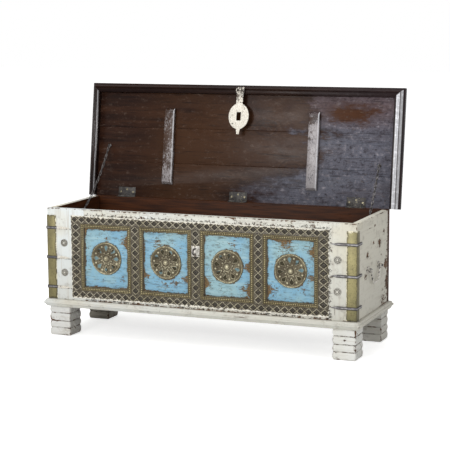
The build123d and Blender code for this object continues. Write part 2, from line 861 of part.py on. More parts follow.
# ---------------------------------------------------------------- stay chains
def pad_eye(foot, normal, pull):
    """Eye on a foot plate; its ring lies in the plane of the normal and the pull."""
    normal = Vector(*normal).normalized()
    centre = Vector(*foot) + normal * chain_stand
    seat = Plane(origin=foot, z_dir=normal)
    pad = seat * extrude(RegularPolygon(chain_pad, chain_eye_sides), chain_pad_metal)
    neck = extrude(Rectangle(chain_neck_side, chain_neck_side), chain_stand - chain_eye - chain_wire)
    ring_plane = Plane(origin=centre, x_dir=normal, z_dir=normal.cross(pull))
    ring = RegularPolygon(chain_eye_outer, chain_eye_sides, major_radius=False)
    ring -= RegularPolygon(chain_eye, chain_eye_sides, major_radius=False)
    return pad + seat * neck + ring_plane * extrude(ring, chain_wire, both=True)


def chain_link(spacing):
    """Long link of square wire in the XY plane, its length along X, its corners cut off."""
    length = spacing + chain_play
    wire = 2 * chain_wire
    whole = Rectangle(length + 2 * wire, chain_inner + 2 * wire)
    whole = chamfer(whole.vertices(), link_corner)
    return extrude(whole - Rectangle(length, chain_inner), chain_wire, both=True)


def stay_chain(wall_foot, lid_foot, lid_normal, sag):
    """Chain of interlocked links between two eyes, sagging a little, and the eyes themselves."""
    side = 1 if wall_foot[0] > 0 else -1
    wall_normal = Vector(-side, 0, 0)
    start = Vector(*wall_foot) + wall_normal * chain_stand
    end = Vector(*lid_foot) + Vector(*lid_normal) * chain_stand
    chord = (end - start).normalized()
    down = (Vector(0, 0, -1) + chord * chord.Z).normalized()
    arc = ThreePointArc(start, (start + end) * 0.5 + down * sag, end)
    hooked = (chain_eye - chain_play / 2) / arc.length
    count = 2 * ceil(arc.length / chain_pitch / 2)
    nodes = [arc.position_at(hooked + (1 - 2 * hooked) * i / count) for i in range(count + 1)]
    first_pull = nodes[1] - nodes[0]
    last_pull = nodes[-1] - nodes[-2]
    one = chain_link(first_pull.length)
    links = []
    facing = Vector(1, 0, 0)
    for near, far in zip(nodes, nodes[1:]):
        along = (far - near).normalized()
        facing = (facing - along * facing.dot(along)).normalized()
        links.append(Plane(origin=(near + far) * 0.5, x_dir=along, z_dir=facing) * one)
        facing = along.cross(facing)
    wall_eye = pad_eye(wall_foot, wall_normal, first_pull)
    lid_eye = pad_eye(lid_foot, lid_normal, last_pull)
    return links, wall_eye, lid_eye


def stay_chains():
    """Both chains hold the lid at its open stop."""
    wall_z = rim_height - wall_eye_drop
    lid_normal = turned_point((0, 0, -1), 0, 0, -open_angle)
    parts = {"wall_chain_eyes": [], "lid_chain_eyes": []}
    for name, side, reach, sag in (
        ("left", -1, left_eye_reach, left_sag),
        ("right", 1, right_eye_reach, right_sag),
    ):
        wall_foot = (side * inner_half, wall_eye_back, wall_z)
        shut_foot = (side * (half_width - lid_eye_inset), lid_back - reach, lid_bottom)
        lid_foot = turned_point(shut_foot, pin_y, pin_z, -open_angle)
        links, wall_eye, lid_eye = stay_chain(wall_foot, lid_foot, lid_normal, sag)
        parts[f"{name}_stay_chain"] = links
        parts["wall_chain_eyes"].append(wall_eye)
        parts["lid_chain_eyes"].append(lid_eye)
    return parts


# ---------------------------------------------------------------- the whole chest
def assemble():
    """Every node with its solids, in place, with the lid open."""
    chain_parts = stay_chains()
    hinge_parts = hinges()
    eyes = handle_eyes()
    right_bail = bail()
    batten = lid_batten()
    case = {
        **legs(),
        **base_rails(),
        **front_frame(),
        **front_panels(),
        **box_boards(),
        **front_metal(),
        "staple": staple(),
        "staple_plate": staple_plate(),
        "case_hinge_leaves": hinge_parts["case_hinge_leaves"],
        "hinge_pins": hinge_parts["hinge_pins"],
        "wall_chain_eyes": chain_parts["wall_chain_eyes"],
        "left_stay_chain": chain_parts["left_stay_chain"],
        "right_stay_chain": chain_parts["right_stay_chain"],
        "left_handle_eyes": [mirrored(eye) for eye in eyes],
        "right_handle_eyes": eyes,
    }
    shut_lid = {
        **lid_boards(),
        **lid_mouldings(),
        "lid_left_batten": Pos(-batten_apart / 2, 0, 0) * batten,
        "lid_right_batten": Pos(batten_apart / 2, 0, 0) * batten,
        "lid_hinge_leaves": hinge_parts["lid_hinge_leaves"],
        "hasp_eye": hasp_eye(),
    }
    lid = {"lid_chain_eyes": chain_parts["lid_chain_eyes"]}
    for name, solids in shut_lid.items():
        pieces = solids if isinstance(solids, list) else [solids]
        lid[name] = [opened(piece) for piece in pieces]
    swung = Rot(-hasp_tilt_open, 0, 0)
    return {
        "case": case,
        "lid": lid,
        "link": {"hasp_link": Pos(*open_eye) * swung * hasp_link()},
        "hasp": {"hasp": Pos(*open_link_end) * swung * hasp()},
        "left_handle": {"left_handle": mirrored(right_bail)},
        "right_handle": {"right_handle": right_bail},
    }


def footprint_centre(bodies):
    """Middle of everything, seen from above."""
    shapes = []
    for nodes in bodies.values():
        for solids in nodes.values():
            shapes += solids if isinstance(solids, list) else [solids]
    bounds = Compound(children=[Compound(shape.solids()) for shape in shapes]).bounding_box()
    return ((bounds.min.X + bounds.max.X) / 2, (bounds.min.Y + bounds.max.Y) / 2)


bodies = assemble()
centre_x, centre_y = footprint_centre(bodies)
os.makedirs("parts", exist_ok=True)
for nodes in bodies.values():
    for name, solids in nodes.items():
        pieces = solids if isinstance(solids, list) else [solids]
        placed = [Pos(-centre_x, -centre_y, 0) * solid for piece in pieces for solid in piece.solids()]
        export_step(placed[0] if len(placed) == 1 else Compound(placed), f"parts/{name}.step")
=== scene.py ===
# %% [markdown]
# # Painted dowry chest
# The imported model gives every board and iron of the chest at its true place. The lesson
# dresses that frame: boards get their worn paint, and the metalwork that needs carving or
# beading is modelled again on the same place.

# %% The frame
import bpy
import json
import math
import random
from mathutils import Matrix, Vector


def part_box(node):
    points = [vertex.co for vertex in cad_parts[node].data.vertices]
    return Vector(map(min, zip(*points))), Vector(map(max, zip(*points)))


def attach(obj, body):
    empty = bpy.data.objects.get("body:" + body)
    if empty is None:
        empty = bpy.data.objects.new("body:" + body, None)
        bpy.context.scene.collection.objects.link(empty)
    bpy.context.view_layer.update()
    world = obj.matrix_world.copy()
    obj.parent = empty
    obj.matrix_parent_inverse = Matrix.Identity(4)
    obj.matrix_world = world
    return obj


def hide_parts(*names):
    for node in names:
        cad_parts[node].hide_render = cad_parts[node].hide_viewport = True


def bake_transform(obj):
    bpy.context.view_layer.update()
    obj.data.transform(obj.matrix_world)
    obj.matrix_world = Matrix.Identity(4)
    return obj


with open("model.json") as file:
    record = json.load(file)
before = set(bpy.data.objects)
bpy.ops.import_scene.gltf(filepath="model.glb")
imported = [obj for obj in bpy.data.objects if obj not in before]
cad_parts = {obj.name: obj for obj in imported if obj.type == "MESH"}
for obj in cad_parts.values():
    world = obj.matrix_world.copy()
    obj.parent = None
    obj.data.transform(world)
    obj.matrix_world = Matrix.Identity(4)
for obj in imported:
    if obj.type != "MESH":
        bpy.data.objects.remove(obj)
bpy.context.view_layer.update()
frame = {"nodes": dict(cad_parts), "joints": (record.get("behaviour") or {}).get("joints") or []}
nodes = frame["nodes"]
bpy.ops.object.select_all(action="DESELECT")

# %% [markdown]
# World, floor and finishes are all made of nodes. Two small functions keep that short: one
# fills a socket, the other adds a node and fills its first sockets in turn.

# %% Node helpers
def feed(tree, socket, source):
    """Links a socket to another one, or sets it to a plain value."""
    source = getattr(source, "socket", source)
    if isinstance(source, bpy.types.NodeSocket):
        tree.links.new(source, socket)
    else:
        socket.default_value = source


def wired(tree, kind, sources=(), **settings):
    """Adds a node with its settings and feeds its first inputs."""
    made = tree.nodes.new(kind)
    for key, value in settings.items():
        setattr(made, key, value)
    for socket, source in zip(made.inputs, sources):
        feed(tree, socket, source)
    return made


print("node helpers ready")

# %% [markdown]
# The chest stands on a plain pale floor. The world is white where the camera or a reflection
# meets it and a quiet grey for everything else, so the background stays clean without more
# light on the wood. A floor lit only by lamps would come out grey, so it glows a little.

# %% Floor and world
world_grey = 0.5
floor_glow = 0.62
world = bpy.data.worlds.new("studio")
bpy.context.scene.world = world
world.use_nodes = True
sky = world.node_tree
rays = wired(sky, "ShaderNodeLightPath").outputs
seen = wired(sky, "ShaderNodeMath", (rays["Is Camera Ray"], rays["Is Glossy Ray"]), operation="ADD")
seen_through = wired(
    sky, "ShaderNodeMath", (seen.outputs[0], rays["Is Transmission Ray"]), operation="ADD", use_clamp=True,
)
level = wired(sky, "ShaderNodeMapRange", (seen_through.outputs[0], 0.0, 1.0, world_grey, 1.0))
background = sky.nodes["Background"]
feed(sky, background.inputs["Color"], (1.0, 1.0, 1.0, 1.0))
feed(sky, background.inputs["Strength"], level.outputs["Result"])

bpy.ops.mesh.primitive_plane_add(size=40, location=(0, 0, -0.0004))
floor = bpy.context.object
floor.name = "studio_floor"
floor_paint = bpy.data.materials.new("studio_floor_paint")
floor_paint.use_nodes = True
floor_tree = floor_paint.node_tree
camera_ray = wired(floor_tree, "ShaderNodeLightPath").outputs["Is Camera Ray"]
glow = wired(floor_tree, "ShaderNodeMath", (camera_ray, floor_glow), operation="MULTIPLY")
floor_shader = floor_tree.nodes["Principled BSDF"]
for key, value in (
    ("Base Color", (0.86, 0.86, 0.855, 1)), ("Roughness", 0.9),
    ("Emission Color", (1, 1, 1, 1)), ("Emission Strength", glow.outputs[0]),
):
    feed(floor_tree, floor_shader.inputs[key], value)
floor.data.materials.append(floor_paint)
print("floor and world ready")

# %% [markdown]
# Three soft lamps: a key in front on the left, whose reflection lies as a grey sheen on the
# waxed lid, a tall narrow one on the right that draws bright lines along the edges, and a
# broad one above. The lid's finish adds a painted sheen and painted highlight lines of its own.

# %% Lamps
def soft_lamp(name, place, target, width, height, power):
    """Area lamp at a place, turned to face a target."""
    lamp = bpy.data.lights.new(name, "AREA")
    lamp.shape = "RECTANGLE"
    lamp.size = width
    lamp.size_y = height
    lamp.energy = power
    holder = bpy.data.objects.new(name, lamp)
    bpy.context.scene.collection.objects.link(holder)
    holder.location = place
    holder.rotation_euler = (Vector(target) - Vector(place)).to_track_quat("-Z", "Y").to_euler()


soft_lamp("key_lamp", (-0.78, -3.75, 1.45), (0.1, 0, 0.45), 1.3, 1.15, 60)
soft_lamp("edge_lamp", (3.4, -1.6, 1.25), (0, 0, 0.5), 0.4, 1.9, 11)
soft_lamp("top_lamp", (-0.4, -0.6, 3.4), (0, 0, 0.3), 2.6, 2.0, 46)

# %% [markdown]
# The camera stands to the right of the chest and a little above it. A long lens keeps the
# edges of the box nearly parallel; the small shift puts the chest where the frame wants it.

# %% Camera
camera_place = (1.96954, -4.73642, 1.16653)
camera_yaw = 0.38718
camera_pitch = 0.14665
camera_roll = -0.00495
frame_pixels = 450
focal_pixels = 1459.98
shift_pixels = (-5.03, -3.16)
forward = Vector((
    -math.sin(camera_yaw) * math.cos(camera_pitch),
    math.cos(camera_yaw) * math.cos(camera_pitch),
    -math.sin(camera_pitch),
))
level_right = Vector((math.cos(camera_yaw), math.sin(camera_yaw), 0))
level_up = level_right.cross(forward)
right = level_right * math.cos(camera_roll) + level_up * math.sin(camera_roll)
up = level_up * math.cos(camera_roll) - level_right * math.sin(camera_roll)
lens_data = bpy.data.cameras.new("camera")
lens_data.sensor_width = 36.0
lens_data.lens = 36.0 * focal_pixels / frame_pixels
lens_data.shift_x = shift_pixels[0] / frame_pixels
lens_data.shift_y = shift_pixels[1] / frame_pixels
camera = bpy.data.objects.new("camera", lens_data)
bpy.context.scene.collection.objects.link(camera)
facing = Matrix((right, up, -forward)).transposed().to_4x4()
camera.matrix_world = Matrix.Translation(camera_place) @ facing
bpy.context.scene.camera = camera
bpy.context.scene.view_settings.view_transform = "Standard"
print("camera at", [round(v, 2) for v in camera.location])

# %% [markdown]
# A pattern is a number that varies over a surface. The class below holds one, and its sums,
# products and steps add the Math nodes, so a formula reads as it would on paper. Colours are
# written as on a paint chart, in 0 to 255, and turned into Blender's linear values.

# %% Patterns
def shade(red, green, blue):
    """Blender's linear colour for one from a paint chart."""
    linear = []
    for part in (red, green, blue):
        value = part / 255
        linear.append(value / 12.92 if value <= 0.04045 else ((value + 0.055) / 1.055) ** 2.4)
    return (*linear, 1.0)


class Pattern:
    """A number or colour that varies over a finish."""

    def __init__(self, finish, socket):
        self.finish = finish
        self.socket = socket

    def __add__(self, other):
        return self.finish.math("ADD", self, other)

    def __sub__(self, other):
        return self.finish.math("SUBTRACT", self, other)

    def __rsub__(self, other):
        return self.finish.math("SUBTRACT", other, self)

    def __mul__(self, other):
        return self.finish.math("MULTIPLY", self, other)

    def __truediv__(self, other):
        return self.finish.math("DIVIDE", self, other)

    def __abs__(self):
        return self.finish.math("ABSOLUTE", self)

    __radd__ = __add__
    __rmul__ = __mul__

    def root(self):
        return self.finish.math("SQRT", self)

    def most(self, *others):
        """The largest of this and others at each point."""
        made = self
        for other in others:
            made = self.finish.math("MAXIMUM", made, other)
        return made

    def least(self, *others):
        """The smallest of this and others at each point."""
        made = self
        for other in others:
            made = self.finish.math("MINIMUM", made, other)
        return made

    def step(self, low, high):
        """Smooth rise from 0 at low to 1 at high; high may lie below low."""
        ends = (high, low, 1.0, 0.0) if high < low else (low, high, 0.0, 1.0)
        made = wired(
            self.finish.tree, "ShaderNodeMapRange", (self, *ends), interpolation_type="SMOOTHSTEP",
        )
        return Pattern(self.finish, made.outputs["Result"])

    def between(self, first, second):
        """The first number where this is 0 and the second where it is 1."""
        tree = self.finish.tree
        made = wired(tree, "ShaderNodeMix", (self,), data_type="FLOAT")
        feed(tree, made.inputs[2], first)
        feed(tree, made.inputs[3], second)
        return Pattern(self.finish, made.outputs[0])

    def blend(self, first, second):
        """The same for colours, each from the paint chart or blended before."""
        return self.finish.blend(self, first, second)


print("patterns ready")

# %% [markdown]
# A finish is one material. It gives the patterns their raw material, noise and distances, and
# takes its colour coat by coat, as a painter would. All patterns read Object coordinates in
# metres, so a scale of 100 gives spots about a centimetre wide on every board alike.

# %% Finishes
class Finish:
    """A procedural material that is painted coat by coat."""

    def __init__(self, name, roughness=0.5, metallic=0.0, specular=0.5):
        self.material = bpy.data.materials.new(name)
        self.material.use_nodes = True
        self.tree = self.material.node_tree
        self.shader = self.tree.nodes["Principled BSDF"]
        self.shader.inputs["Metallic"].default_value = metallic
        self.shader.inputs["Roughness"].default_value = roughness
        self.shader.inputs["Specular IOR Level"].default_value = specular
        self.place = wired(self.tree, "ShaderNodeTexCoord").outputs["Object"]
        self.axes = self.parted(self.place)
        self.x, self.y, self.z = self.axes
        self.colour = None

    def parted(self, vector):
        """The three parts of a vector."""
        made = wired(self.tree, "ShaderNodeSeparateXYZ", (vector,))
        return [Pattern(self, socket) for socket in made.outputs]

    def math(self, operation, first, second=0.0):
        made = wired(self.tree, "ShaderNodeMath", (first, second), operation=operation)
        return Pattern(self, made.outputs[0])

    def noise(self, scale, detail=4.0, stretch=(1, 1, 1), shift=(0, 0, 0), rough=0.55, warp=0.0):
        """Cloudy noise with about so many spots to the metre."""
        place = wired(self.tree, "ShaderNodeMapping", (self.place, shift, (0, 0, 0), stretch))
        made = wired(self.tree, "ShaderNodeTexNoise", (place.outputs[0],))
        for key, value in (("Scale", scale), ("Detail", detail), ("Roughness", rough), ("Distortion", warp)):
            made.inputs[key].default_value = value
        return Pattern(self, made.outputs["Fac"])

    def blend(self, amount, first, second):
        """The first colour where the amount is 0 and the second where it is 1."""
        made = wired(self.tree, "ShaderNodeMix", (amount,), data_type="RGBA")
        for socket, colour in ((made.inputs[6], first), (made.inputs[7], second)):
            feed(self.tree, socket, shade(*colour) if isinstance(colour, tuple) else colour)
        return Pattern(self, made.outputs[2])

    def coat(self, amount, colour):
        """Lays a colour over what is there, as far as the amount says."""
        self.colour = self.blend(amount, self.colour, colour)

    def near(self, centre, radius):
        """1 at a point and 0 from the radius on; a None in the point leaves that axis free."""
        offs = [axis - value for axis, value in zip(self.axes, centre) if value is not None]
        return sum(off * off for off in offs).root().step(radius, 0.0)

    def oval(self, centre, radii):
        """0 at a point (x, z) and 1 on the oval with those half axes round it."""
        along = (self.x - centre[0]) / radii[0]
        upward = (self.z - centre[1]) / radii[1]
        return (along * along + upward * upward).root()

    def outline_gap(self, box):
        """Distance outside a rectangle (x, z) on the front; negative inside it."""
        (low_x, low_z), (high_x, high_z) = box
        gap_x = abs(self.x - (low_x + high_x) / 2) - (high_x - low_x) / 2
        gap_z = abs(self.z - (low_z + high_z) / 2) - (high_z - low_z) / 2
        return gap_x.most(gap_z)

    def edge_distance(self, low, high):
        """Distance from a point on a board's surface to the nearest edge of the board."""
        gaps = []
        for axis, start, end in zip(self.axes, low, high):
            gaps.append(((end - start) / 2 - abs(axis - (start + end) / 2)).most(0.0))
        smallest = gaps[0].least(*gaps[1:])
        largest = gaps[0].most(*gaps[1:])
        return gaps[0] + gaps[1] + gaps[2] - smallest - largest

    def complete(self, rough, height, depth):
        """Joins colour, roughness and a bump of so many metres to the shader."""
        feed(self.tree, self.shader.inputs["Base Color"], self.colour)
        feed(self.tree, self.shader.inputs["Roughness"], rough)
        bump = wired(self.tree, "ShaderNodeBump")
        bump.inputs["Distance"].default_value = depth
        feed(self.tree, bump.inputs["Height"], height)
        feed(self.tree, self.shader.inputs["Normal"], bump.outputs[0])
        return self.material


def grained(grain, along, across):
    """Stretch of a noise that runs with the grain, whose axis is given."""
    stretch = [across] * 3
    stretch[grain] = along
    return stretch


print("finishes ready")

# %% [markdown]
# The chest is painted chalk white over brown wood. The paint has yellowed in clouds, shows the
# brush in faint streaks, and has chipped along every edge. One builder makes this finish for
# each board from the board's own box, so that the wear really follows its edges.

# %% White paint
def white_paint(
    name, low, high, grain=0, stains=(), chipped=(), darkened=(), soot_and_shadow=(), wear=1.0,
    chalk=(224, 225, 221), cream=(213, 208, 190), greying=0.55,
):
    """Worn white paint on a board whose box is given.

    stains, chipped, darkened and soot_and_shadow are functions of the finish. Each gives a mask:
    where the board stays brown, where the paint chips more, where a dark brown coat is laid on,
    and where the white turns black: blackened wood from before the metal went on, and painted
    shadow lines along the left straps.
    """
    paint = Finish(name, roughness=0.6, specular=0.12)
    shift = (low[0] * 7.3, low[1] * 3.1 + 1.7, low[2] * 5.9)
    clouds = paint.noise(3.6, 3.0, shift=shift)
    streaks = paint.noise(14.0, 5.0, stretch=grained(grain, 0.6, 9.0), shift=shift)
    grime = paint.noise(34.0, 6.0, shift=shift, rough=0.72)
    crumble = paint.noise(95.0, 5.0, shift=shift, rough=0.68)
    patches = paint.noise(9.0, 3.0, shift=(shift[1], shift[2], shift[0]))
    # Creamier in clouds and towards the right end of the chest.
    cream_share = (clouds.step(0.42, 0.62) * 0.9).most(paint.x.step(-0.46, 0.1) * 0.6)
    paint.colour = cream_share.blend(chalk, cream)
    # Greyer towards the bottom of the chest, as far as greying says.
    paint.coat(paint.z.step(0.42, 0.1) * greying, (194, 192, 183))
    paint.coat(streaks.step(0.48, 0.72) * 0.5, (186, 179, 166))
    paint.coat(grime.step(0.52, 0.72) * 0.55, (142, 134, 122))
    for place in darkened:
        paint.coat(place(paint) * crumble.step(0.3, 0.52) * 0.75, (96, 86, 76))
    edges = paint.edge_distance(low, high).step(0.006 * wear, 0.0)
    bare = crumble + edges * 0.19 + patches.step(0.42, 0.72) * 0.11
    for place in chipped:
        bare = bare + place(paint) * 0.27
    scratches = paint.noise(1.0, 6.0, stretch=grained(grain, 6.0, 75.0), shift=shift, rough=0.62)
    scratched = scratches.step(0.665, 0.69) * patches.step(0.44, 0.56)
    chips = bare.step(0.76, 0.785).most(scratched)
    paint.coat(chips, streaks.step(0.4, 0.7).blend((104, 78, 58), (58, 45, 37)))
    rough = chips.between(0.58, 0.75)
    stain = streaks.step(0.3, 0.7).blend((40, 20, 10), (74, 40, 19))
    # The black coat lies on blackened wood near the metalwork, and as painted shadow by the left straps.
    soot_and_shadow_colour = grime.step(0.4, 0.66).blend((42, 39, 35), (78, 71, 60))
    for dark_coat, places in ((stain, stains), (soot_and_shadow_colour, soot_and_shadow)):
        for place in places:
            covered = place(paint)
            paint.coat(covered, dark_coat)
            rough = covered.between(rough, 0.5)
    return paint.complete(rough, (streaks + grime) * 0.4 - chips, 0.0008)


print("white paint ready")

# %% [markdown]
# Small functions say where paint is missing. Some places were never painted: the faces that
# look into the chest, the wood under the pierced metal and the back edges. Others chip more
# than the rest, such as the rim round the metalwork.

# %% Where the paint is missing
front_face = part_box("front_left_stile")[0][1]
fret_low, fret_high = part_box("fretted_border_strips")
fret_box = ((fret_low[0], fret_low[2]), (fret_high[0], fret_high[2]))
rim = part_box("right_side_board")[1][2]


def on_front_face(paint):
    """Mask of the front face alone."""
    return paint.y.step(front_face + 0.004, front_face + 0.002)


def under_fretwork(paint):
    """Mask of the wood behind the pierced strips, a little ragged along its outline."""
    ragged = (paint.noise(120.0, 4.0, rough=0.7) - 0.5) * 0.007
    return (paint.outline_gap(fret_box) + ragged).step(0.0004, -0.0008) * on_front_face(paint)


def round_fretwork(paint):
    """Mask of the paint close to the metalwork, which flaked off with it."""
    return paint.outline_gap(fret_box).step(0.026, 0.0) * 0.62


def soot_splashes(paint):
    """Mask of black spots that strayed from the metalwork on to the white."""
    closeness = paint.outline_gap(fret_box).step(0.022, 0.0)
    spots = paint.noise(130.0, 6.0, rough=0.76) + closeness * 0.16
    return spots.step(0.66, 0.7) * on_front_face(paint) * closeness.step(0.0, 0.1) * 0.9


def inside_of(axis, sign, limit):
    """Mask of a board's inner face: the outside lies towards -sign on the axis."""
    return lambda paint: ((paint.axes[axis] - limit) * float(sign)).step(-0.0016, -0.0004)


def beyond(axis, start, end, strength=1.0):
    """Mask that rises from start to end along an axis."""
    return lambda paint: paint.axes[axis].step(start, end) * strength


def spot(centre, radius, strength):
    """Mask of a round spot on a board."""
    return lambda paint: paint.near(centre, radius) * strength


def strap_levels(node):
    """Heights of the three straps on one corner."""
    low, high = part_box(node)
    return (low[2] + 0.005, (low[2] + high[2]) / 2, high[2] - 0.005)


def strap_tip_shadow_lines(paint):
    """Mask of broken lines by the left straps' lower edges: tips under paint, and painted shadow."""
    lines = [paint.near((None, None, level - 0.004), 0.0028) for level in strap_levels("left_corner_straps")]
    broken = paint.noise(110.0, 3.0, stretch=(1, 1, 0.3)).step(0.44, 0.54)
    return lines[0].most(*lines[1:]) * broken * on_front_face(paint) * 0.9


print("places without paint ready")

# %% [markdown]
# The boards were planed by hand, so none has a knife-sharp edge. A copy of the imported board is
# merged and its triangles dissolved back to flat faces; then a bevel rounds the edges a little.
# Copying keeps the board's true place, which a newly drawn box could miss.

# %% Modelling helpers
def only(piece):
    """Leaves edit mode and selects one piece alone."""
    if bpy.context.mode != "OBJECT":
        bpy.ops.object.mode_set(mode="OBJECT")
    bpy.ops.object.select_all(action="DESELECT")
    piece.select_set(True)
    bpy.context.view_layer.objects.active = piece


def settled(piece):
    """Moves a piece's place, turn and size into its mesh."""
    only(piece)
    bpy.ops.object.transform_apply(location=True, rotation=True, scale=True)
    return piece


def opened_up():
    """Opens the active piece in edit mode with all of it selected, and returns it."""
    bpy.ops.object.mode_set(mode="EDIT")
    bpy.ops.mesh.select_mode(type="FACE")
    bpy.ops.mesh.select_all(action="SELECT")
    return bpy.context.object


def closed_up():
    """Turns every face of the edited piece outwards and leaves edit mode."""
    bpy.ops.mesh.select_all(action="SELECT")
    bpy.ops.mesh.normals_make_consistent(inside=False)
    bpy.ops.object.mode_set(mode="OBJECT")


def raised(rise):
    """Extrudes what is selected upwards."""
    bpy.ops.mesh.extrude_region_move(TRANSFORM_OT_translate={"value": (0, 0, rise)})


def modified(piece, kind, **settings):
    """Adds one modifier and applies it."""
    only(piece)
    modifier = piece.modifiers.new(kind.lower(), kind)
    for key, value in settings.items():
        setattr(modifier, key, value)
    bpy.ops.object.modifier_apply(modifier=modifier.name)
    return piece


def bevelled(piece, width, sharper, segments=2):
    """Rounds the edges that turn sharper than so many degrees."""
    return modified(
        piece, "BEVEL", width=width, segments=segments, limit_method="ANGLE",
        angle_limit=math.radians(sharper),
    )


def arrayed(piece, count, offset):
    """Repeats a piece along an offset."""
    return modified(
        piece, "ARRAY", count=count, use_relative_offset=False, use_constant_offset=True,
        constant_offset_displace=offset,
    )


def copied(piece, name, matrix):
    """A copy of a piece with its own mesh, moved by a matrix in its mesh."""
    double = bpy.data.objects.new(name, piece.data.copy())
    bpy.context.scene.collection.objects.link(double)
    double.data.transform(matrix)
    return double


def joined(pieces, name):
    """Joins several meshes into one piece."""
    only(pieces[0])
    for piece in pieces:
        piece.select_set(True)
    bpy.ops.object.join()
    made = bpy.context.object
    made.name = name
    return made


def flat_bar(x, y, z):
    """Block from its bounds, with its place in its mesh."""
    bpy.ops.object.select_all(action="DESELECT")
    size = (x[1] - x[0], y[1] - y[0], z[1] - z[0])
    middle = ((x[0] + x[1]) / 2, (y[0] + y[1]) / 2, (z[0] + z[1]) / 2)
    bpy.ops.mesh.primitive_cube_add(size=1, location=middle, scale=size)
    return settled(bpy.context.object)


def softened(node, width, segments=2):
    """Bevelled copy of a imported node, made from its merged and dissolved mesh."""
    piece = copied(nodes[node], f"{node}_soft", Matrix.Identity(4))
    only(piece)
    opened_up()
    bpy.ops.mesh.remove_doubles(threshold=0.00002)
    bpy.ops.mesh.dissolve_limited(angle_limit=math.radians(0.5))
    bpy.ops.object.mode_set(mode="OBJECT")
    return bevelled(piece, width, 30, segments)


def keep(piece, name, body, material, replaced=(), angle=40):
    """Settles a finished piece, names it, dresses it and lets it ride on its body."""
    settled(piece)
    bpy.ops.object.shade_smooth_by_angle(angle=math.radians(angle))
    piece.name = name
    piece.data.name = name
    piece.data.materials.clear()
    piece.data.materials.append(material)
    if body is not None:
        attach(piece, body)
    if replaced:
        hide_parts(*replaced)
    return piece


def reworked(node, ending, body, width, material, segments=2, angle=40):
    """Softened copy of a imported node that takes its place."""
    return keep(softened(node, width, segments), f"{node}_{ending}", body, material, [node], angle)


def kept_group(pieces, name, body, material, replaced=()):
    """Joins small parts and keeps them as one piece."""
    return keep(joined(pieces, name), name, body, material, replaced)


print("modelling helpers ready")

# %% [markdown]
# Each board now gets its soft edges and its own paint. The grain runs along the board, and the
# faces that look into the chest keep the dark stain they had before the outside was painted.

# %% Painted boards
board_edge = 0.0012
side_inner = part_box("right_side_board")[0][0]
side_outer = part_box("right_side_board")[1][0]
side_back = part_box("right_side_board")[1][1]
back_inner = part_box("back_board")[0][1]
back_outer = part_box("back_board")[1][1]
in_front = inside_of(1, 1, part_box("front_left_stile")[1][1])
rim_wear = beyond(2, rim - 0.016, rim - 0.001, 0.16)
side_spots = [
    spot((None, 0.0454, 0.3582), 0.03, 1.5), spot((None, -0.0306, 0.3698), 0.02, 1.2),
    spot((None, 0.0957, 0.3911), 0.022, 1.3), spot((None, -0.0139, 0.4269), 0.02, 1.0),
    spot((None, -0.0972, 0.3389), 0.024, 1.0), spot((None, 0.066, 0.3182), 0.022, 1.1),
    spot((None, -0.1192, 0.2693), 0.036, 1.1), spot((None, 0.1131, 0.2772), 0.032, 1.25),
    spot((None, 0.1289, 0.2073), 0.034, 1.3), spot((None, 0.09, 0.15), 0.06, 1.1),
    beyond(1, side_back - 0.04, side_back, 0.7),
]


def back_edge(paint):
    """Mask of the bare wood along the back corner, with a ragged line."""
    ragged = (paint.noise(70.0, 4.0, rough=0.7) - 0.5) * 0.016
    return (paint.y + ragged - (back_outer - 0.021)).step(-0.0003, 0.0003)


def back_end(paint):
    """Mask of the back board's end grain, seen from the sides."""
    return back_edge(paint) * abs(paint.x).step(side_outer - 0.0012, side_outer - 0.0004)


fresh, dusty = (218, 223, 223), (208, 207, 200)
metal_soot = [under_fretwork, soot_splashes]
back_stains = [inside_of(1, -1, back_inner), beyond(2, rim - 0.0008, rim - 0.0002), back_end]
painted_boards = {
    # The strap lines on the left stile are painted shadow.
    "front_left_stile": (2, [in_front], [rim_wear], [], [under_fretwork, strap_tip_shadow_lines], fresh),
    "front_right_stile": (2, [in_front], [round_fretwork, rim_wear], [], metal_soot, fresh),
    "front_bottom_rail": (0, [in_front], [round_fretwork], [], metal_soot, fresh),
    "front_top_rail": (0, [in_front], [round_fretwork, rim_wear], [rim_wear], metal_soot, fresh),
    "front_muntins": (2, [in_front], [], [], [under_fretwork], fresh),
    "left_side_board": (1, [inside_of(0, 1, -side_inner), back_edge], side_spots, [], [], dusty),
    "right_side_board": (1, [inside_of(0, -1, side_inner), back_edge], side_spots, [], [], dusty),
    "back_board": (0, back_stains, [], [], [], dusty),
    "base_front_rail": (0, [], [], [], [], fresh),
    "base_back_rail": (0, [], [], [], [], dusty),
    "base_left_rail": (1, [], [], [], [], dusty),
    "base_right_rail": (1, [], [], [], [], dusty),
}
for name, (*places, chalk) in painted_boards.items():
    finish = white_paint(f"white_paint_{name}", *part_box(name), *places, chalk=chalk)
    reworked(name, "worn", "case", board_edge, finish)
print("painted boards:", len(painted_boards))

# %% [markdown]
# A leg is a square block with four rounded bands carved round it. By hand in Blender: start
# from the foot's square, extrude it upwards in small steps and resize each new loop, so that
# every band swells and draws in again. A little noise afterwards makes the carving human.

# %% Legs
leg_low, leg_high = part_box("leg_front_left")
leg_half = (leg_high[0] - leg_low[0]) / 2
leg_bands = [0.028, 0.025, 0.029, 0.025]
band_depth = 0.005
band_steps = 10
band_fullness = 0.36


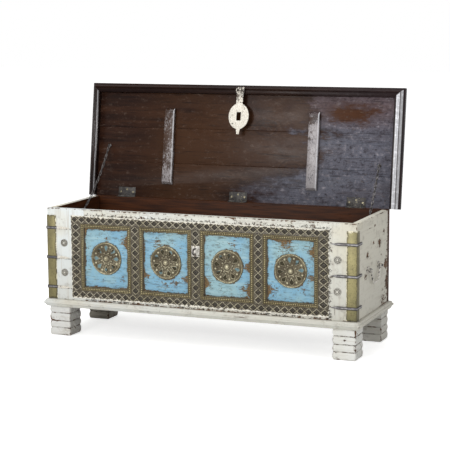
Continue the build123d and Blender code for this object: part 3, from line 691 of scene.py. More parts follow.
def carve_leg(low, high):
    """Extrudes one leg upwards, loop by loop."""
    waist = leg_half - band_depth
    foot = ((low[0] + high[0]) / 2, (low[1] + high[1]) / 2, low[2])
    bpy.ops.object.select_all(action="DESELECT")
    bpy.ops.mesh.primitive_plane_add(size=2 * waist, location=foot)
    leg = opened_up()
    bpy.ops.mesh.subdivide(number_cuts=5)
    bpy.ops.mesh.select_all(action="SELECT")
    size = waist
    for height in leg_bands:
        reached = 0.0
        for index in range(1, band_steps + 1):
            portion = (1 - math.cos(math.pi * index / band_steps)) / 2
            swell = math.sin(math.pi * portion) ** band_fullness if index < band_steps else 0.0
            wanted = waist + band_depth * swell
            raised(height * (portion - reached))
            bpy.ops.transform.resize(value=(wanted / size, wanted / size, 1))
            size = wanted
            reached = portion
    closed_up()
    return settled(leg)


def in_grooves(paint):
    """Mask of the grooves between the bands of a leg."""
    tops = [sum(leg_bands[:index + 1]) for index in range(len(leg_bands))]
    grooves = [paint.near((None, None, top), 0.0028) for top in tops]
    broken = paint.noise(45.0, 4.0).step(0.4, 0.56)
    return grooves[0].most(*grooves[1:]) * broken.between(0.25, 0.95)


def knocked(paint):
    """Mask of a leg's faces, which get knocked and flake more than the boards above."""
    return paint.noise(24.0, 4.0, shift=(4, 2, 7)).step(0.48, 0.62) * 0.5


leg_coats = {
    "leg_front_left": ((222, 223, 224), (210, 207, 202), 0.55, 0.5),
    "leg_front_right": ((234, 235, 234), (222, 221, 214), 0.1, 0.15),
    # Painted shade: the back left leg stands in shadow, so its chalk and cream are dark.
    "leg_back_left": ((120, 114, 102), (98, 92, 80), 0.0, 0.2),
    "leg_back_right": ((212, 213, 211), (198, 195, 188), 0.0, 0.4),
}
carving_noise = bpy.data.textures.new("carving_noise", "CLOUDS")
carving_noise.noise_scale = 0.03
legs = []
for name, (chalk, cream, right_face_dark, greying) in leg_coats.items():
    low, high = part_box(name)
    leg = bevelled(carve_leg(low, high), 0.0025, 60)
    modified(leg, "DISPLACE", texture=carving_noise, strength=0.0014, mid_level=0.9, texture_coords="GLOBAL")
    # The grooves and the right face of a leg get a patchy dark brown coat, as far as the table says.
    right_face_darkening = beyond(0, high[0] - 0.006, high[0] - 0.003, right_face_dark)
    finish = white_paint(
        f"white_paint_{name}", low, high, 0, (), [in_grooves, knocked], [in_grooves, right_face_darkening],
        wear=1.3, chalk=chalk, cream=cream, greying=greying,
    )
    legs.append(keep(leg, f"{name}_carved", "case", finish, [name], angle=50))
print("faces of the legs:", [len(leg.data.polygons) for leg in legs])

# %% [markdown]
# The lid and the inside are stained almost black and waxed. Long streaks of noise give the
# grain, and a second, broader noise lets red-brown wood show through where hands rubbed it.
# Towards the right, old lime lies on the wax as a blue-grey bloom, partly a painted sheen.

# %% Dark stain
hinge_pin = next(joint for joint in frame["joints"] if joint["name"] == "lid_hinge")
pin_place = Vector(hinge_pin["pos_m"])
open_turn = math.radians(hinge_pin["range_deg"][1])
lean_back = open_turn - math.radians(90)
lid_knots = ((0.096, 0.729), (0.205, 0.585))
bare_patch = ((0.42, 0.79), (0.082, 0.034))


def on_inside(stain):
    """Mask of the lid's inner side, from how far a point stands out of the open lid."""
    outward = (stain.y - pin_place.y) * math.cos(lean_back)
    rise = (stain.z - pin_place.z) * math.sin(lean_back)
    return (outward - rise).step(0.014, 0.01)


def left_lime(stain, frost, high, shift):
    """Flakes of lime, which gather towards a board's lower end, and their colour."""
    flakes = stain.noise(190.0, 7.0, stretch=(1, 1, 0.6), shift=shift, rough=0.8)
    broad = stain.noise(26.0, 4.0, shift=shift)
    lower = stain.z.step(high[2] - 0.02, high[2] - 0.02 - 0.3 / frost)
    cover = flakes + (broad - 0.5) * 0.5 + lower * 0.2
    return cover.step(0.54, 0.7) * 0.88, flakes.blend((112, 102, 100), (192, 188, 190))


def dark_stain(name, low, high, grain, gloss, specular, warm, greying, dark, frost, highlight_lines):
    """Waxed dark stain on a board whose box is given.

    warm is the share of red-brown clouds, greying that of the grey-blue film towards the right,
    which is part lime on the wax and part painted sheen, dark how far the board is darkened
    towards black, and frost that of left-over lime. highlight_lines are (distance from the right
    side, half width, strength) of pale lines painted along arrises as highlights.
    """
    stain = Finish(name, roughness=gloss, specular=specular)
    shift = (low[0] * 5.1, low[1] * 4.7, 1.3)
    fibres = stain.noise(1.0, 7.0, stretch=grained(grain, 2.2, 40.0), shift=shift, rough=0.62)
    clouds = stain.noise(3.4, 4.0, stretch=(0.7, 1, 1.2), shift=(2.1, 0.4, 1.1), warp=0.8)
    haze = stain.noise(5.0, 7.0, stretch=(0.6, 1, 1.6), shift=(7.3, 2.2, 5.1), rough=0.78)
    stain.colour = fibres.step(0.35, 0.68).blend((30, 17, 14), (54, 33, 23))
    astray = (haze - 0.5) * 0.9
    ragged_x = stain.x + astray
    brown = stain.x.step(-0.5, -0.22) * ragged_x.step(0.36, 0.16)
    brown = brown * stain.z.step(0.47, 0.66).most(ragged_x.step(0.1, -0.05))
    patch = (1.3 - stain.oval(*bare_patch) + astray * 9.0).step(-0.6, 1.6)
    brown = brown.most(patch, 0.12)
    stain.coat(clouds.step(0.3, 0.56) * brown * warm, (64, 41, 26))
    stain.coat(patch * (0.3 * warm), (92, 52, 28))
    for knot in lid_knots:
        from_knot = stain.oval(knot, (0.085, 0.05)) + astray * 1.4
        wave = stain.math("SINE", from_knot * 26.0)
        stain.coat(wave.step(0.1, 0.9) * from_knot.step(1.1, 0.5) * (0.5 * warm), (34, 20, 16))
    slanted = ragged_x - (stain.z - 0.5) * 0.5
    # Towards the right a grey-blue film: part old lime on the wax, part painted sheen where the key lamp
    # reflects.
    bloom_and_sheen = slanted.step(0.0, 0.3) * (haze - brown * 0.7).step(-0.1, 0.62)
    bloom_and_sheen_tint = stain.z.step(0.7, 0.82).blend((108, 111, 124), (120, 106, 112))
    stain.coat(bloom_and_sheen * 0.8 * greying, bloom_and_sheen_tint)
    mottle = stain.noise(75.0, 7.0, stretch=(0.7, 1, 1), shift=(3.3, 1.2, 8.4), rough=0.8)
    stain.coat(mottle.step(0.49, 0.37) * bloom_and_sheen * greying, (44, 38, 42))
    stain.coat(mottle.step(0.53, 0.68) * bloom_and_sheen * (0.75 * greying), (158, 152, 158))
    rubbing_and_glints = stain.noise(80.0, 6.0, stretch=(0.5, 1, 1), shift=shift, rough=0.78)
    stain.coat(rubbing_and_glints.step(0.54, 0.72) * 0.4 * greying, (122, 106, 96))
    pores = stain.noise(1.0, 5.0, stretch=grained(grain, 11.0, 200.0), shift=shift)
    stain.coat(pores.step(0.56, 0.68) * 0.6, (17, 11, 10))
    worn = stain.edge_distance(low, high).step(0.004, 0.0) + stain.noise(60.0, 4.0, shift=shift)
    stain.coat(worn.step(1.05, 1.35) * 0.45, (104, 78, 64))
    if frost:
        stain.coat(*left_lime(stain, frost, high, shift))
    stain.coat(dark, (15, 8, 9))
    # Painted highlights: near-white lines along the arrises of the lid's side mouldings and battens.
    for centre, half_width, strength in highlight_lines:
        off = abs(high[0] - stain.x - centre)
        unbroken = rubbing_and_glints.step(0.4, 0.5).between(1.0, 0.7)
        line = off.step(half_width, half_width * 0.6) * unbroken * (on_inside(stain) * strength)
        stain.coat(line, (240, 240, 244))
    rough = haze.step(0.35, 0.68).between(gloss - 0.06, gloss + 0.16)
    return stain.complete(rough, fibres + (rubbing_and_glints - pores) * 0.5, 0.00014)


# Painted highlights: two pale lines on the right moulding; the left moulding and battens get one each.
right_lip_highlights = ((0.0208, 0.0076, 1.0), (0.0092, 0.0034, 0.8))
stained_boards = {
    "lid_plank_front": ("lid", 0, 0.26, 0.08, 1.0, 1.0, 0.0, 0.0, ()),
    "lid_plank_middle": ("lid", 0, 0.26, 0.08, 1.0, 1.0, 0.0, 0.0, ()),
    "lid_plank_back": ("lid", 0, 0.26, 0.08, 1.0, 1.0, 0.0, 0.0, ()),
    "lid_front_moulding": ("lid", 0, 0.24, 0.06, 0.3, 0.2, 0.5, 0.0, ()),
    "lid_left_moulding": ("lid", 2, 0.2, 0.3, 0.1, 0.3, 0.6, 0.0, ((0.006, 0.0018, 0.4),)),
    "lid_right_moulding": ("lid", 2, 0.24, 0.12, 0.1, 0.2, 0.6, 0.0, right_lip_highlights),
    "lid_left_batten": ("lid", 2, 0.24, 0.25, 1.0, 0.5, 0.0, 0.9, ((0.0024, 0.0022, 0.62),)),
    "lid_right_batten": ("lid", 2, 0.24, 0.25, 0.6, 0.6, 0.0, 8.0, ((0.0024, 0.0022, 0.75),)),
    "floor_boards": ("case", 0, 0.5, 0.1, 1.0, 0.3, 0.0, 0.0, ()),
}
for name, (body, *looks) in stained_boards.items():
    finish = dark_stain(f"dark_stain_{name}", *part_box(name), *looks)
    reworked(name, "waxed", body, 0.0008, finish)
print("stained boards:", len(stained_boards))

# %% [markdown]
# The four panels are sky blue. Their paint was rubbed back along the edges and round the brass
# medallions, where brown wood shows, and dry brush marks run across them. The finish measures
# how far each point is from the panel's middle, so every medallion gets its own dark halo.

# %% Blue panels
medallion_low, medallion_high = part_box("medallions")
medallion_radius = (medallion_high[2] - medallion_low[2]) / 2
panel_height = (medallion_high[2] + medallion_low[2]) / 2
panel_hidden = 0.008


def blue_paint(name, low, high, seed, knocks):
    """Worn sky-blue paint on one panel with a worn halo round its middle.

    knocks are (x, z, radius) of worn spots, measured from the panel's middle.
    """
    paint = Finish(name, roughness=0.62, specular=0.15)
    shift = (seed * 3.7, seed * 1.9, seed * 5.3)
    clouds = paint.noise(8.0, 3.0, shift=shift)
    brush = paint.noise(1.0, 6.0, stretch=(9, 9, 150), shift=shift, rough=0.6)
    dusty = paint.noise(60.0, 6.0, stretch=(0.5, 1, 1.4), shift=shift, rough=0.78)
    ragged = paint.noise(55.0, 5.0, shift=shift, rough=0.65)
    broad = paint.noise(16.0, 4.0, shift=(shift[2], shift[0], shift[1]))
    fine = paint.noise(1.0, 6.0, stretch=(110, 110, 330), shift=shift, rough=0.75)
    paint.colour = clouds.step(0.38, 0.64).blend((150, 183, 190), (128, 172, 196))
    paint.coat(brush.step(0.5, 0.7) * 0.6, (172, 198, 200))
    paint.coat(dusty.step(0.5, 0.66) * 0.7, (96, 112, 114))
    middle_x = (low[0] + high[0]) / 2
    across = paint.x - middle_x
    upward = paint.z - panel_height
    reach = (across * across + upward * upward).root()
    gap_x = (high[0] - low[0]) / 2 - panel_hidden - abs(across)
    gap_z = (high[2] - low[2]) / 2 - panel_hidden - abs(upward)
    spots = []
    for spot_x, spot_z, spot_size in knocks:
        spots.append(paint.near((middle_x + spot_x, None, panel_height + spot_z), spot_size))
    worn_spots = spots[0].most(*spots[1:])
    wobble = (ragged - 0.5) * 0.012 + (broad - 0.5) * 0.024 + (fine - 0.5) * 0.024
    halo = (reach + wobble).step(medallion_radius + 0.0014, medallion_radius - 0.001)
    crumbled = worn_spots * ((fine - 0.36) * 0.115)
    border = (gap_x.least(gap_z) + wobble - crumbled).step(0.0026, 0.0006)
    specks = (paint.noise(170.0, 3.0, shift=shift) + worn_spots * 0.1).step(0.66, 0.69)
    scratched = broad.step(0.46, 0.6) * 0.03 + worn_spots * 0.11
    scratches = paint.noise(1.0, 5.0, stretch=(30, 30, 420), shift=shift) + scratched
    gouges = paint.noise(1.0, 5.0, stretch=(60, 60, 150), shift=shift, rough=0.7)
    gouges = (gouges + worn_spots * 0.14).step(0.7, 0.735)
    bare = halo.most(border, specks, scratches.step(0.655, 0.685), gouges)
    paint.coat(bare * 0.96, fine.step(0.42, 0.6).blend((80, 64, 44), (138, 108, 66)))
    patina = broad.step(0.5, 0.56).blend((66, 61, 47), (118, 146, 152))
    paint.coat(reach.step(0.054, 0.05), patina)
    return paint.complete(bare.between(0.6, 0.78), brush * 0.5 - bare, 0.0006)


panel_knocks = [
    [(0.07, 0.062, 0.034), (0.0, 0.072, 0.012), (0.002, 0.06, 0.012), (0.062, -0.07, 0.022)],
    [(-0.03, 0.068, 0.034), (0.028, -0.068, 0.034), (0.0, -0.075, 0.03), (0.07, -0.055, 0.024),
     (-0.068, -0.05, 0.018)],
    [(0.068, 0.0, 0.03), (0.07, -0.074, 0.036), (-0.07, -0.06, 0.028), (0.02, 0.075, 0.03)],
    [(0.062, 0.068, 0.034), (-0.066, -0.07, 0.036), (0.048, -0.068, 0.024), (-0.02, 0.08, 0.05),
     (0.066, -0.02, 0.024)],
]
for number, knocks in enumerate(panel_knocks, 1):
    name = f"front_panel_{number}"
    finish = blue_paint(f"blue_paint_{number}", *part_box(name), number, knocks)
    reworked(name, "worn", "case", 0.0006, finish)
print("blue panels:", len(panel_knocks))

# %% [markdown]
# The metal on the front is drawn flat, with X along a strip, Y across it and Z out of the
# wood, and then stood up on the front by a matrix. That keeps every modelling step simple.

# %% Places on the front
border_band = 0.028
border_side = 0.0375
muntin_strip = 0.0325
bead_width = 0.0145
sheet = front_face - fret_low[1]
border_length = fret_high[0] - fret_low[0]
border_height = fret_high[2] - fret_low[2]
strip_height = border_height - 2 * border_band
field_middle = (fret_high[2] + fret_low[2]) / 2
bay_pitch = (border_length - 2 * border_side + muntin_strip) / 4
bay_middles = [(index - 1.5) * bay_pitch for index in range(4)]
muntin_middles = [(index - 1) * bay_pitch for index in range(3)]


def on_front(x, z, lift=0.0, upright=False):
    """Matrix from the flat drawing to the front at (x, z), lift metres off the wood."""
    along = Vector((0, 0, 1)) if upright else Vector((1, 0, 0))
    across = Vector((-1, 0, 0)) if upright else Vector((0, 0, 1))
    matrix = Matrix((along, across, Vector((0, -1, 0)))).transposed().to_4x4()
    return Matrix.Translation((x, front_face - lift, z)) @ matrix


strips = [
    ("top", 0, fret_high[2] - border_band / 2, border_length, border_band, False),
    ("bottom", 0, fret_low[2] + border_band / 2, border_length, border_band, False),
    ("left", fret_low[0] + border_side / 2, field_middle, strip_height, border_side, True),
    ("right", fret_high[0] - border_side / 2, field_middle, strip_height, border_side, True),
]
for number, x in enumerate(muntin_middles, 1):
    strips.append((f"muntin_{number}", x, field_middle, strip_height, muntin_strip, True))
print("bay pitch", round(bay_pitch, 4), "strips", len(strips))

# %% [markdown]
# The fretted strips are thin brass pierced with lozenges. Along the middle of the metal that
# is left, a raised rib runs in zigzag and crosses itself between the lozenges. One cross of
# two ribs is modelled and repeated by an Array modifier at the strip's own pitch.

# %% Lattice ribs
lozenge_pitch = 0.028
rib_width = 0.0026
rib_height = 0.0013
rib_inset = 0.00225


def lozenges(length):
    """How many lozenges a strip holds, and their pitch."""
    count = round(length / lozenge_pitch)
    return count, length / count


def lattice(name, length, width):
    """Crossing ribs along one strip, drawn flat."""
    count, pitch = lozenges(length)
    peak = width / 2 - rib_inset
    half = math.hypot(pitch / 2, peak)
    bars = []
    for sign in (1, -1):
        bar = flat_bar((-half, half), (-rib_width / 2, rib_width / 2), (0, rib_height))
        bar.data.transform(Matrix.Rotation(sign * math.atan2(peak, pitch / 2), 4, "Z"))
        bars.append(bevelled(bar, 0.0008, 60))
    cross = joined(bars, name)
    cross.data.transform(Matrix.Translation((-length / 2, 0, 0)))
    arrayed(cross, count + 1, (pitch, 0, 0))
    for side in (-1, 1):
        only(cross)
        opened_up()
        bpy.ops.mesh.bisect(
            plane_co=(side * (length / 2 - 0.0004), 0, 0), plane_no=(side, 0, 0),
            clear_outer=True, use_fill=True,
        )
        bpy.ops.object.mode_set(mode="OBJECT")
    return cross


ribs = []
for name, x, z, length, width, upright in strips:
    rib = lattice(f"ribs_{name}", length, width)
    rib.data.transform(on_front(x, z, sheet - 0.0001, upright))
    ribs.append(rib)
print("rib faces:", sum(len(rib.data.polygons) for rib in ribs))

# %% [markdown]
# In the middle of each lozenge sits a small dark pyramid, pressed out of the ground behind the
# sheet. A four-sided face is extruded three times and drawn in a little each time; it is made
# once for each strip and copied, and all are joined into one piece.

# %% Lozenge pyramids
pyramid_height = 0.0022
pyramid_share = 0.72


def pyramid(half_long, half_wide, height):
    """Pressed lozenge drawn flat: a raised rim, a shallow step and a blunt point."""
    bpy.ops.object.select_all(action="DESELECT")
    bpy.ops.mesh.primitive_circle_add(vertices=4, radius=1, fill_type="NGON", location=(0, 0, -0.0004))
    lozenge = opened_up()
    bpy.ops.transform.resize(value=(half_long, half_wide, 1))
    for portion, rise in ((0.86, 0.4), (0.78, 0.05), (0.34, 0.55)):
        raised(height * rise)
        bpy.ops.transform.resize(value=(portion, portion, 1))
    closed_up()
    return settled(lozenge)


pyramids = []
for name, x, z, length, width, upright in strips:
    count, pitch = lozenges(length)
    half_long = (pitch - 0.007) / 2 * pyramid_share
    one = pyramid(half_long, (width / 2 - 0.0045) * pyramid_share, pyramid_height)
    for index in range(count):
        shift = Matrix.Translation(((index - (count - 1) / 2) * pitch, 0, 0))
        pyramids.append(copied(one, f"pyramid_{name}_{index}", on_front(x, z, 0, upright) @ shift))
    bpy.data.objects.remove(one)
print("pyramids:", len(pyramids))

# %% [markdown]
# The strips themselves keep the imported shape. A UV map follows each strip, one unit to a
# lozenge, so the finish knows where the ribs and the dull triangles between them lie.

# %% Pierced strips
def strip_place(x, z):
    """(along, across) of a point of the border, in lozenges and in half widths."""
    for _, middle_x, middle_z, length, width, upright in strips:
        across = (middle_x - x) if upright else (z - middle_z)
        along = (z - middle_z) if upright else (x - middle_x)
        if abs(across) <= width / 2 + 0.0003 and abs(along) <= length / 2 + 0.0003:
            return ((along / length + 0.5) * lozenges(length)[0], across / (width / 2))
    return (0.0, 0.0)


pierced = []
for node in ("fretted_border_strips", "fretted_muntin_strips"):
    piece = softened(node, 0.0002, 1)
    layer = piece.data.uv_layers.new(name="strip_map")
    for loop in piece.data.loops:
        corner = piece.data.vertices[loop.vertex_index].co
        layer.data[loop.index].uv = strip_place(corner.x, corner.z)
    pierced.append(piece)
print("pierced strips:", [len(piece.data.polygons) for piece in pierced])

# %% [markdown]
# The sheet is old brass that was limed: pale on the ribs, dark in the hollows, and splashed with
# the white of the rail along its outer edge. The hollows are found from the UV map, the splashes
# from the distance to the border's own outline.

# %% Fretwork finish
def hollows(metal):
    """Masks of the dark triangles of the flat sheet and of the pale line inside them."""
    mapped = wired(metal.tree, "ShaderNodeUVMap", uv_map="strip_map")
    along, across, _ = metal.parted(mapped.outputs[0])
    wave = abs(metal.math("FRACT", along) * 2.0 - 1.0)
    past_rib = abs(across) + wave - 1.0
    return abs(past_rib).step(0.14, 0.22), abs(past_rib - 0.48).step(0.1, 0.04)


def limed_brass(name, has_hollows, pale, olive):
    """Old limed brass for the sheet, which has hollows, or for the ribs."""
    metal = Finish(name, roughness=0.5, metallic=0.3)
    clouds = metal.noise(7.0, 4.0)
    speckle = metal.noise(240.0, 6.0, rough=0.78)
    crust = metal.noise(90.0, 4.0, shift=(3, 1, 4))
    metal.colour = clouds.step(0.35, 0.68).blend(pale, olive)
    metal.coat(speckle.step(0.47, 0.6) * 0.85, (50, 45, 38))
    metal.coat(speckle.step(0.42, 0.34) * 0.6, (186, 180, 160))
    metal.coat(crust.step(0.48, 0.62) * 0.6, (84, 76, 63))
    if has_hollows:
        hollow, inner_line = hollows(metal)
        metal.coat(hollow * 0.9, (48, 42, 36))
        metal.coat(inner_line * 0.55, (136, 126, 104))
    ragged = (crust - 0.5) * 0.02
    gap_x = fret_high[0] - abs(metal.x)
    gap_z = border_height / 2 - abs(metal.z - field_middle)
    splash = (gap_z + ragged).step(0.0046, 0.003).most((gap_x + ragged).step(0.0016, 0.0))
    metal.coat(splash, (222, 218, 206))
    rough = splash.between(speckle.between(0.35, 0.6), 0.7)
    return metal.complete(rough, speckle * 0.6 + crust * 0.5, 0.0006)


def pressed_ground():
    """The dark ground of the lozenges, paler on the flanks of the pyramids."""
    ground = Finish("pressed_ground", roughness=0.45, metallic=0.3)
    spots = ground.noise(300.0, 4.0)
    flank = abs((front_face - ground.y) / 0.0018 - 0.45)
    ground.colour = spots.step(0.48, 0.66).blend((30, 27, 26), (70, 63, 52))
    ground.coat(flank.step(0.2, 0.06) * 0.5, (112, 104, 86))
    return ground.complete(spots.between(0.3, 0.6), spots, 0.0005)


strip_finish = limed_brass("limed_brass_sheet", True, (128, 121, 102), (112, 104, 80))
rib_finish = limed_brass("limed_brass_ribs", False, (184, 177, 156), (152, 144, 116))
border_piece, muntin_piece = pierced
keep(border_piece, "fretted_border_worn", "case", strip_finish, ["fretted_border_strips"])
keep(muntin_piece, "fretted_muntins_worn", "case", strip_finish, ["fretted_muntin_strips"])
kept_group(ribs, "lattice_ribs", "case", rib_finish)
ground_piece = joined(pyramids, "lozenge_pyramids")
keep(ground_piece, "lozenge_pyramids", "case", pressed_ground(), angle=20)
print("fretwork dressed")

# %% [markdown]
# A beaded strip frames each blue panel: two thin ribs with a row of round beads between them.
# One half bead is cut from a sphere with few faces, since hundreds follow, and Array modifiers
# lay it out along the four sides.

# %% Beaded frames
bead_radius = 0.0027
bead_step = 0.0064
edge_rib = 0.0018
edge_rib_z = (sheet - 0.0002, sheet + 0.0016)
bpy.ops.object.select_all(action="DESELECT")
bpy.ops.mesh.primitive_uv_sphere_add(segments=8, ring_count=6, radius=bead_radius, location=(0, 0, 0))
bead = opened_up()
bpy.ops.mesh.bisect(plane_co=(0, 0, 0), plane_no=(0, 0, 1), clear_inner=True)
bpy.ops.object.mode_set(mode="OBJECT")


def bead_row(start, end):
    """Beads from one corner up to the next."""
    span = Vector(end) - Vector(start)
    count = round(span.length / bead_step)
    return arrayed(copied(bead, "bead_row", Matrix.Translation(start)), count, span / count)


def bar_frame(half_x, half_y, width, z):
    """Four bars round a rectangle whose outer half sizes are given."""
    bars = []
    for side in (-1, 1):
        ends = sorted((side * half_y, side * (half_y - width)))
        bars.append(flat_bar((-half_x, half_x), ends, z))
        ends = sorted((side * half_x, side * (half_x - width)))
        bars.append(flat_bar(ends, (width - half_y, half_y - width), z))
    return bars


half_x = (bay_pitch - muntin_strip) / 2
half_y = strip_height / 2
frame_bars = bar_frame(half_x, half_y, bead_width, (0, sheet))
for inset in (0.0012, bead_width - 0.003):
    frame_bars += bar_frame(half_x - inset, half_y - inset, edge_rib, edge_rib_z)
plain_frame = bevelled(joined(frame_bars, "bead_frame"), 0.0005, 40)
row_x = half_x - bead_width / 2
row_y = half_y - bead_width / 2
corners = [(-row_x, -row_y, sheet), (row_x, -row_y, sheet), (row_x, row_y, sheet), (-row_x, row_y, sheet)]
rows = [bead_row(corner, corners[(index + 1) % 4]) for index, corner in enumerate(corners)]
bead_frame = joined([plain_frame] + rows, "bead_frame")
bpy.data.objects.remove(bead)
print("faces of one beaded frame:", len(bead_frame.data.polygons))

# %% [markdown]
# The beaded strips are a warmer brass than the border. Height drives the wear: what stands
# proud is polished by hands, what lies low keeps its dark patina.

# %% Brass finish
def medallion_rims(metal):
    """Mask of the outer rims of the four medallions."""
    radii = (medallion_radius, medallion_radius)
    offs = [metal.oval((x, panel_height), radii) for x in bay_middles]
    return offs[0].least(*offs[1:]).step(0.84, 0.9)


def aged_brass(name, bright, dull, ground_y, relief, metallic=0.6, gloss=0.38, dirt=1.0, rim_dirt=0.0):
    """Brass that is bright where it stands relief metres proud of ground_y and dark below."""
    metal = Finish(name, roughness=gloss, metallic=metallic)
    clouds = metal.noise(14.0, 5.0, rough=0.7)
    speckle = metal.noise(210.0, 6.0, rough=0.78)
    crust = metal.noise(48.0, 4.0, shift=(6, 2, 3), rough=0.7)
    proud = (ground_y - metal.y) / relief + (speckle - 0.5) * 1.1
    shine = proud.step(0.35, 0.95)
    metal.colour = shine.blend((70, 61, 44), clouds.step(0.35, 0.7).blend(bright, dull))
    metal.coat(speckle.step(0.52, 0.64) * (0.75 * dirt), (62, 54, 40))
    metal.coat(crust.step(0.52, 0.64) * (0.45 * dirt), (92, 82, 60))
    if rim_dirt:
        metal.coat(medallion_rims(metal) * speckle.step(0.4, 0.54) * rim_dirt, (98, 88, 62))
    return metal.complete(shine.between(gloss + 0.25, gloss), speckle, 0.0005)


bead_finish = aged_brass(
    "beaded_brass", (204, 191, 144), (168, 154, 108), front_face - sheet, 0.0026, metallic=0.4, dirt=0.55,
)
for number, x in enumerate(bay_middles, 1):
    piece = copied(bead_frame, f"beaded_frame_{number}", on_front(x, field_middle))
    keep(piece, f"beaded_frame_{number}", "case", bead_finish)
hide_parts("bead_frames")
bpy.data.objects.remove(bead_frame)

# %% [markdown]
# Turned and stamped work is built like a stack of rings. A round face is extruded once, then
# inset again and again; each inset may rise or fall, which draws the mouldings of a stud, a
# nail or a medallion without any freehand work.

# %% Ringed discs
def ringed_disc(name, radius, first_rise, rings, segments):
    """Disc drawn flat: rings are (inset, rise) steps towards the middle."""
    bpy.ops.object.select_all(action="DESELECT")
    bpy.ops.mesh.primitive_circle_add(vertices=segments, radius=radius, fill_type="NGON", location=(0, 0, 0))
    disc = opened_up()
    raised(first_rise)
    for inset, rise in rings:
        bpy.ops.mesh.inset(thickness=inset, depth=0.0)
        if rise:
            bpy.ops.transform.translate(value=(0, 0, rise))
    closed_up()
    disc.name = name
    return disc


def dome(name, radius, height, segments=12):
    """Low domed nail head drawn flat, in a few rings."""
    rings = []
    last_r, last_z = radius, 0.0
    for angle in (25, 50, 72):
        r = radius * math.cos(math.radians(angle))
        z = height * math.sin(math.radians(angle))
        rings.append((last_r - r, z - last_z))
        last_r, last_z = r, z
    return ringed_disc(name, radius, 0.0002, rings, segments)


print("disc helpers ready")

# %% [markdown]
# A medallion is a pierced disc: a rolled rim, eight kite-shaped openings with raised edges,
# domed nails between them, and a boss in the middle. The openings are cut with a Boolean
# modifier, and the raised edges are thin bars laid along each cut.

# %% Parts of a medallion
metal_thick = 0.002
kite = [(0.023, 0.0), (0.0412, 0.009), (0.049, 0.0), (0.0412, -0.009)]


def turned(degrees):
    """Rotation of the flat drawing."""
    return Matrix.Rotation(math.radians(degrees), 4, "Z")


def pull_tip(cutter, side, wanted):
    """Moves the vertex farthest out on one side of X, inside edit mode, to a wanted x."""
    bpy.ops.object.mode_set(mode="OBJECT")
    tip = max(cutter.data.vertices, key=lambda vertex: side * vertex.co.x)
    reached = tip.co.x
    for part in (*cutter.data.polygons, *cutter.data.edges, *cutter.data.vertices):
        part.select = False
    tip.select = True
    bpy.ops.object.mode_set(mode="EDIT")
    bpy.ops.mesh.select_mode(type="VERT")
    bpy.ops.transform.translate(value=(wanted - reached, 0, 0))


def kite_cutter(degrees):
    """Solid with the outline of one opening, for the Boolean."""
    inner, side, outer, _ = kite
    bpy.ops.object.select_all(action="DESELECT")
    bpy.ops.mesh.primitive_circle_add(
        vertices=4, radius=side[1], fill_type="NGON", location=(side[0], 0, -0.002),
    )
    cutter = settled(bpy.context.object)
    opened_up()
    pull_tip(cutter, 1, outer[0])
    pull_tip(cutter, -1, inner[0])
    bpy.ops.mesh.select_all(action="SELECT")
    raised(0.006)
    closed_up()
    cutter.data.transform(turned(degrees))
    return cutter


def thin_bar(start, end, radius):
    """Bevelled bar between two points of the flat drawing."""
    span = end - start
    bpy.ops.object.select_all(action="DESELECT")
    bpy.ops.mesh.primitive_cylinder_add(vertices=8, radius=radius, depth=span.length + radius)
    bar = bevelled(bpy.context.object, radius * 0.4, 60)
    turn = Vector((0, 0, 1)).rotation_difference(span).to_matrix().to_4x4()
    middle = (start + end) / 2 + Vector((0, 0, metal_thick))
    bar.data.transform(Matrix.Translation(middle) @ turn)
    return bar


def ring_bar(radius, thickness, centre=(0, 0, 0), major=48):
    """Round ring of wire drawn flat."""
    bpy.ops.object.select_all(action="DESELECT")
    bpy.ops.mesh.primitive_torus_add(
        major_radius=radius, minor_radius=thickness, major_segments=major, minor_segments=8,
        location=(0, 0, 0),
    )
    ring = bpy.context.object
    ring.data.transform(Matrix.Translation(Vector(centre) + Vector((0, 0, metal_thick))))
    return ring


def seated(head, turn, reach):
    """Puts a nail head on the plate at a reach from the middle."""
    head.data.transform(turn @ Matrix.Translation((reach, 0, metal_thick - 0.0002)))
    return head


print("medallion helpers ready")

# %% [markdown]
# The plate, its openings and all that stands on it are put together once. The nails stay a
# piece of their own, since they are brighter. A soft cloud noise bends the whole a little, as
# hand work is never quite flat.

# %% Medallions
plate = ringed_disc(
    "medallion_plate", medallion_radius, 0.0014,
    [(0.0008, 0.0012), (0.0014, 0.0014), (0.0016, 0.0006), (0.0014, -0.0008), (0.0012, -0.0018)], 96,
)
cutters = joined([kite_cutter(45 * index) for index in range(8)], "kite_cutters")
modified(plate, "BOOLEAN", operation="DIFFERENCE", object=cutters, solver="EXACT")
bpy.data.objects.remove(cutters)
parts = [plate]
nails = []
for index in range(8):
    points = [turned(45 * index) @ Vector((*point, 0)) for point in kite]
    for number, start in enumerate(points):
        parts.append(thin_bar(start, points[(number + 1) % 4], 0.0011))
    between = turned(45 * index + 22.5)
    nails.append(seated(dome("nail", 0.0032, 0.0024), between, 0.0435))
    nails.append(seated(dome("nail", 0.0019, 0.0016, 10), between, 0.0205))
    parts.append(ring_bar(0.0048, 0.0008, between @ Vector((0.0435, 0, 0)), 16))
    parts.append(ring_bar(0.003, 0.0008, between @ Vector((0.0325, 0, 0)), 12))
parts.append(ring_bar(0.0158, 0.0011))
parts.append(ring_bar(0.0508, 0.0009, major=72))
boss_rings = [(0.0012, 0.0008), (0.0016, -0.0009), (0.0014, 0.001), (0.0018, 0.0006), (0.0014, 0.0002)]
boss = ringed_disc("boss", 0.009, 0.0008, boss_rings, 32)
boss.data.transform(Matrix.Translation((0, 0, metal_thick - 0.0003)))
medallion = joined(parts + [boss], "medallion")
medallion_nails = joined(nails, "medallion_nails")
hand_noise = bpy.data.textures.new("hand_noise", "CLOUDS")
hand_noise.noise_scale = 0.022
modified(medallion, "DISPLACE", texture=hand_noise, strength=0.0018, mid_level=0.55, texture_coords="GLOBAL")
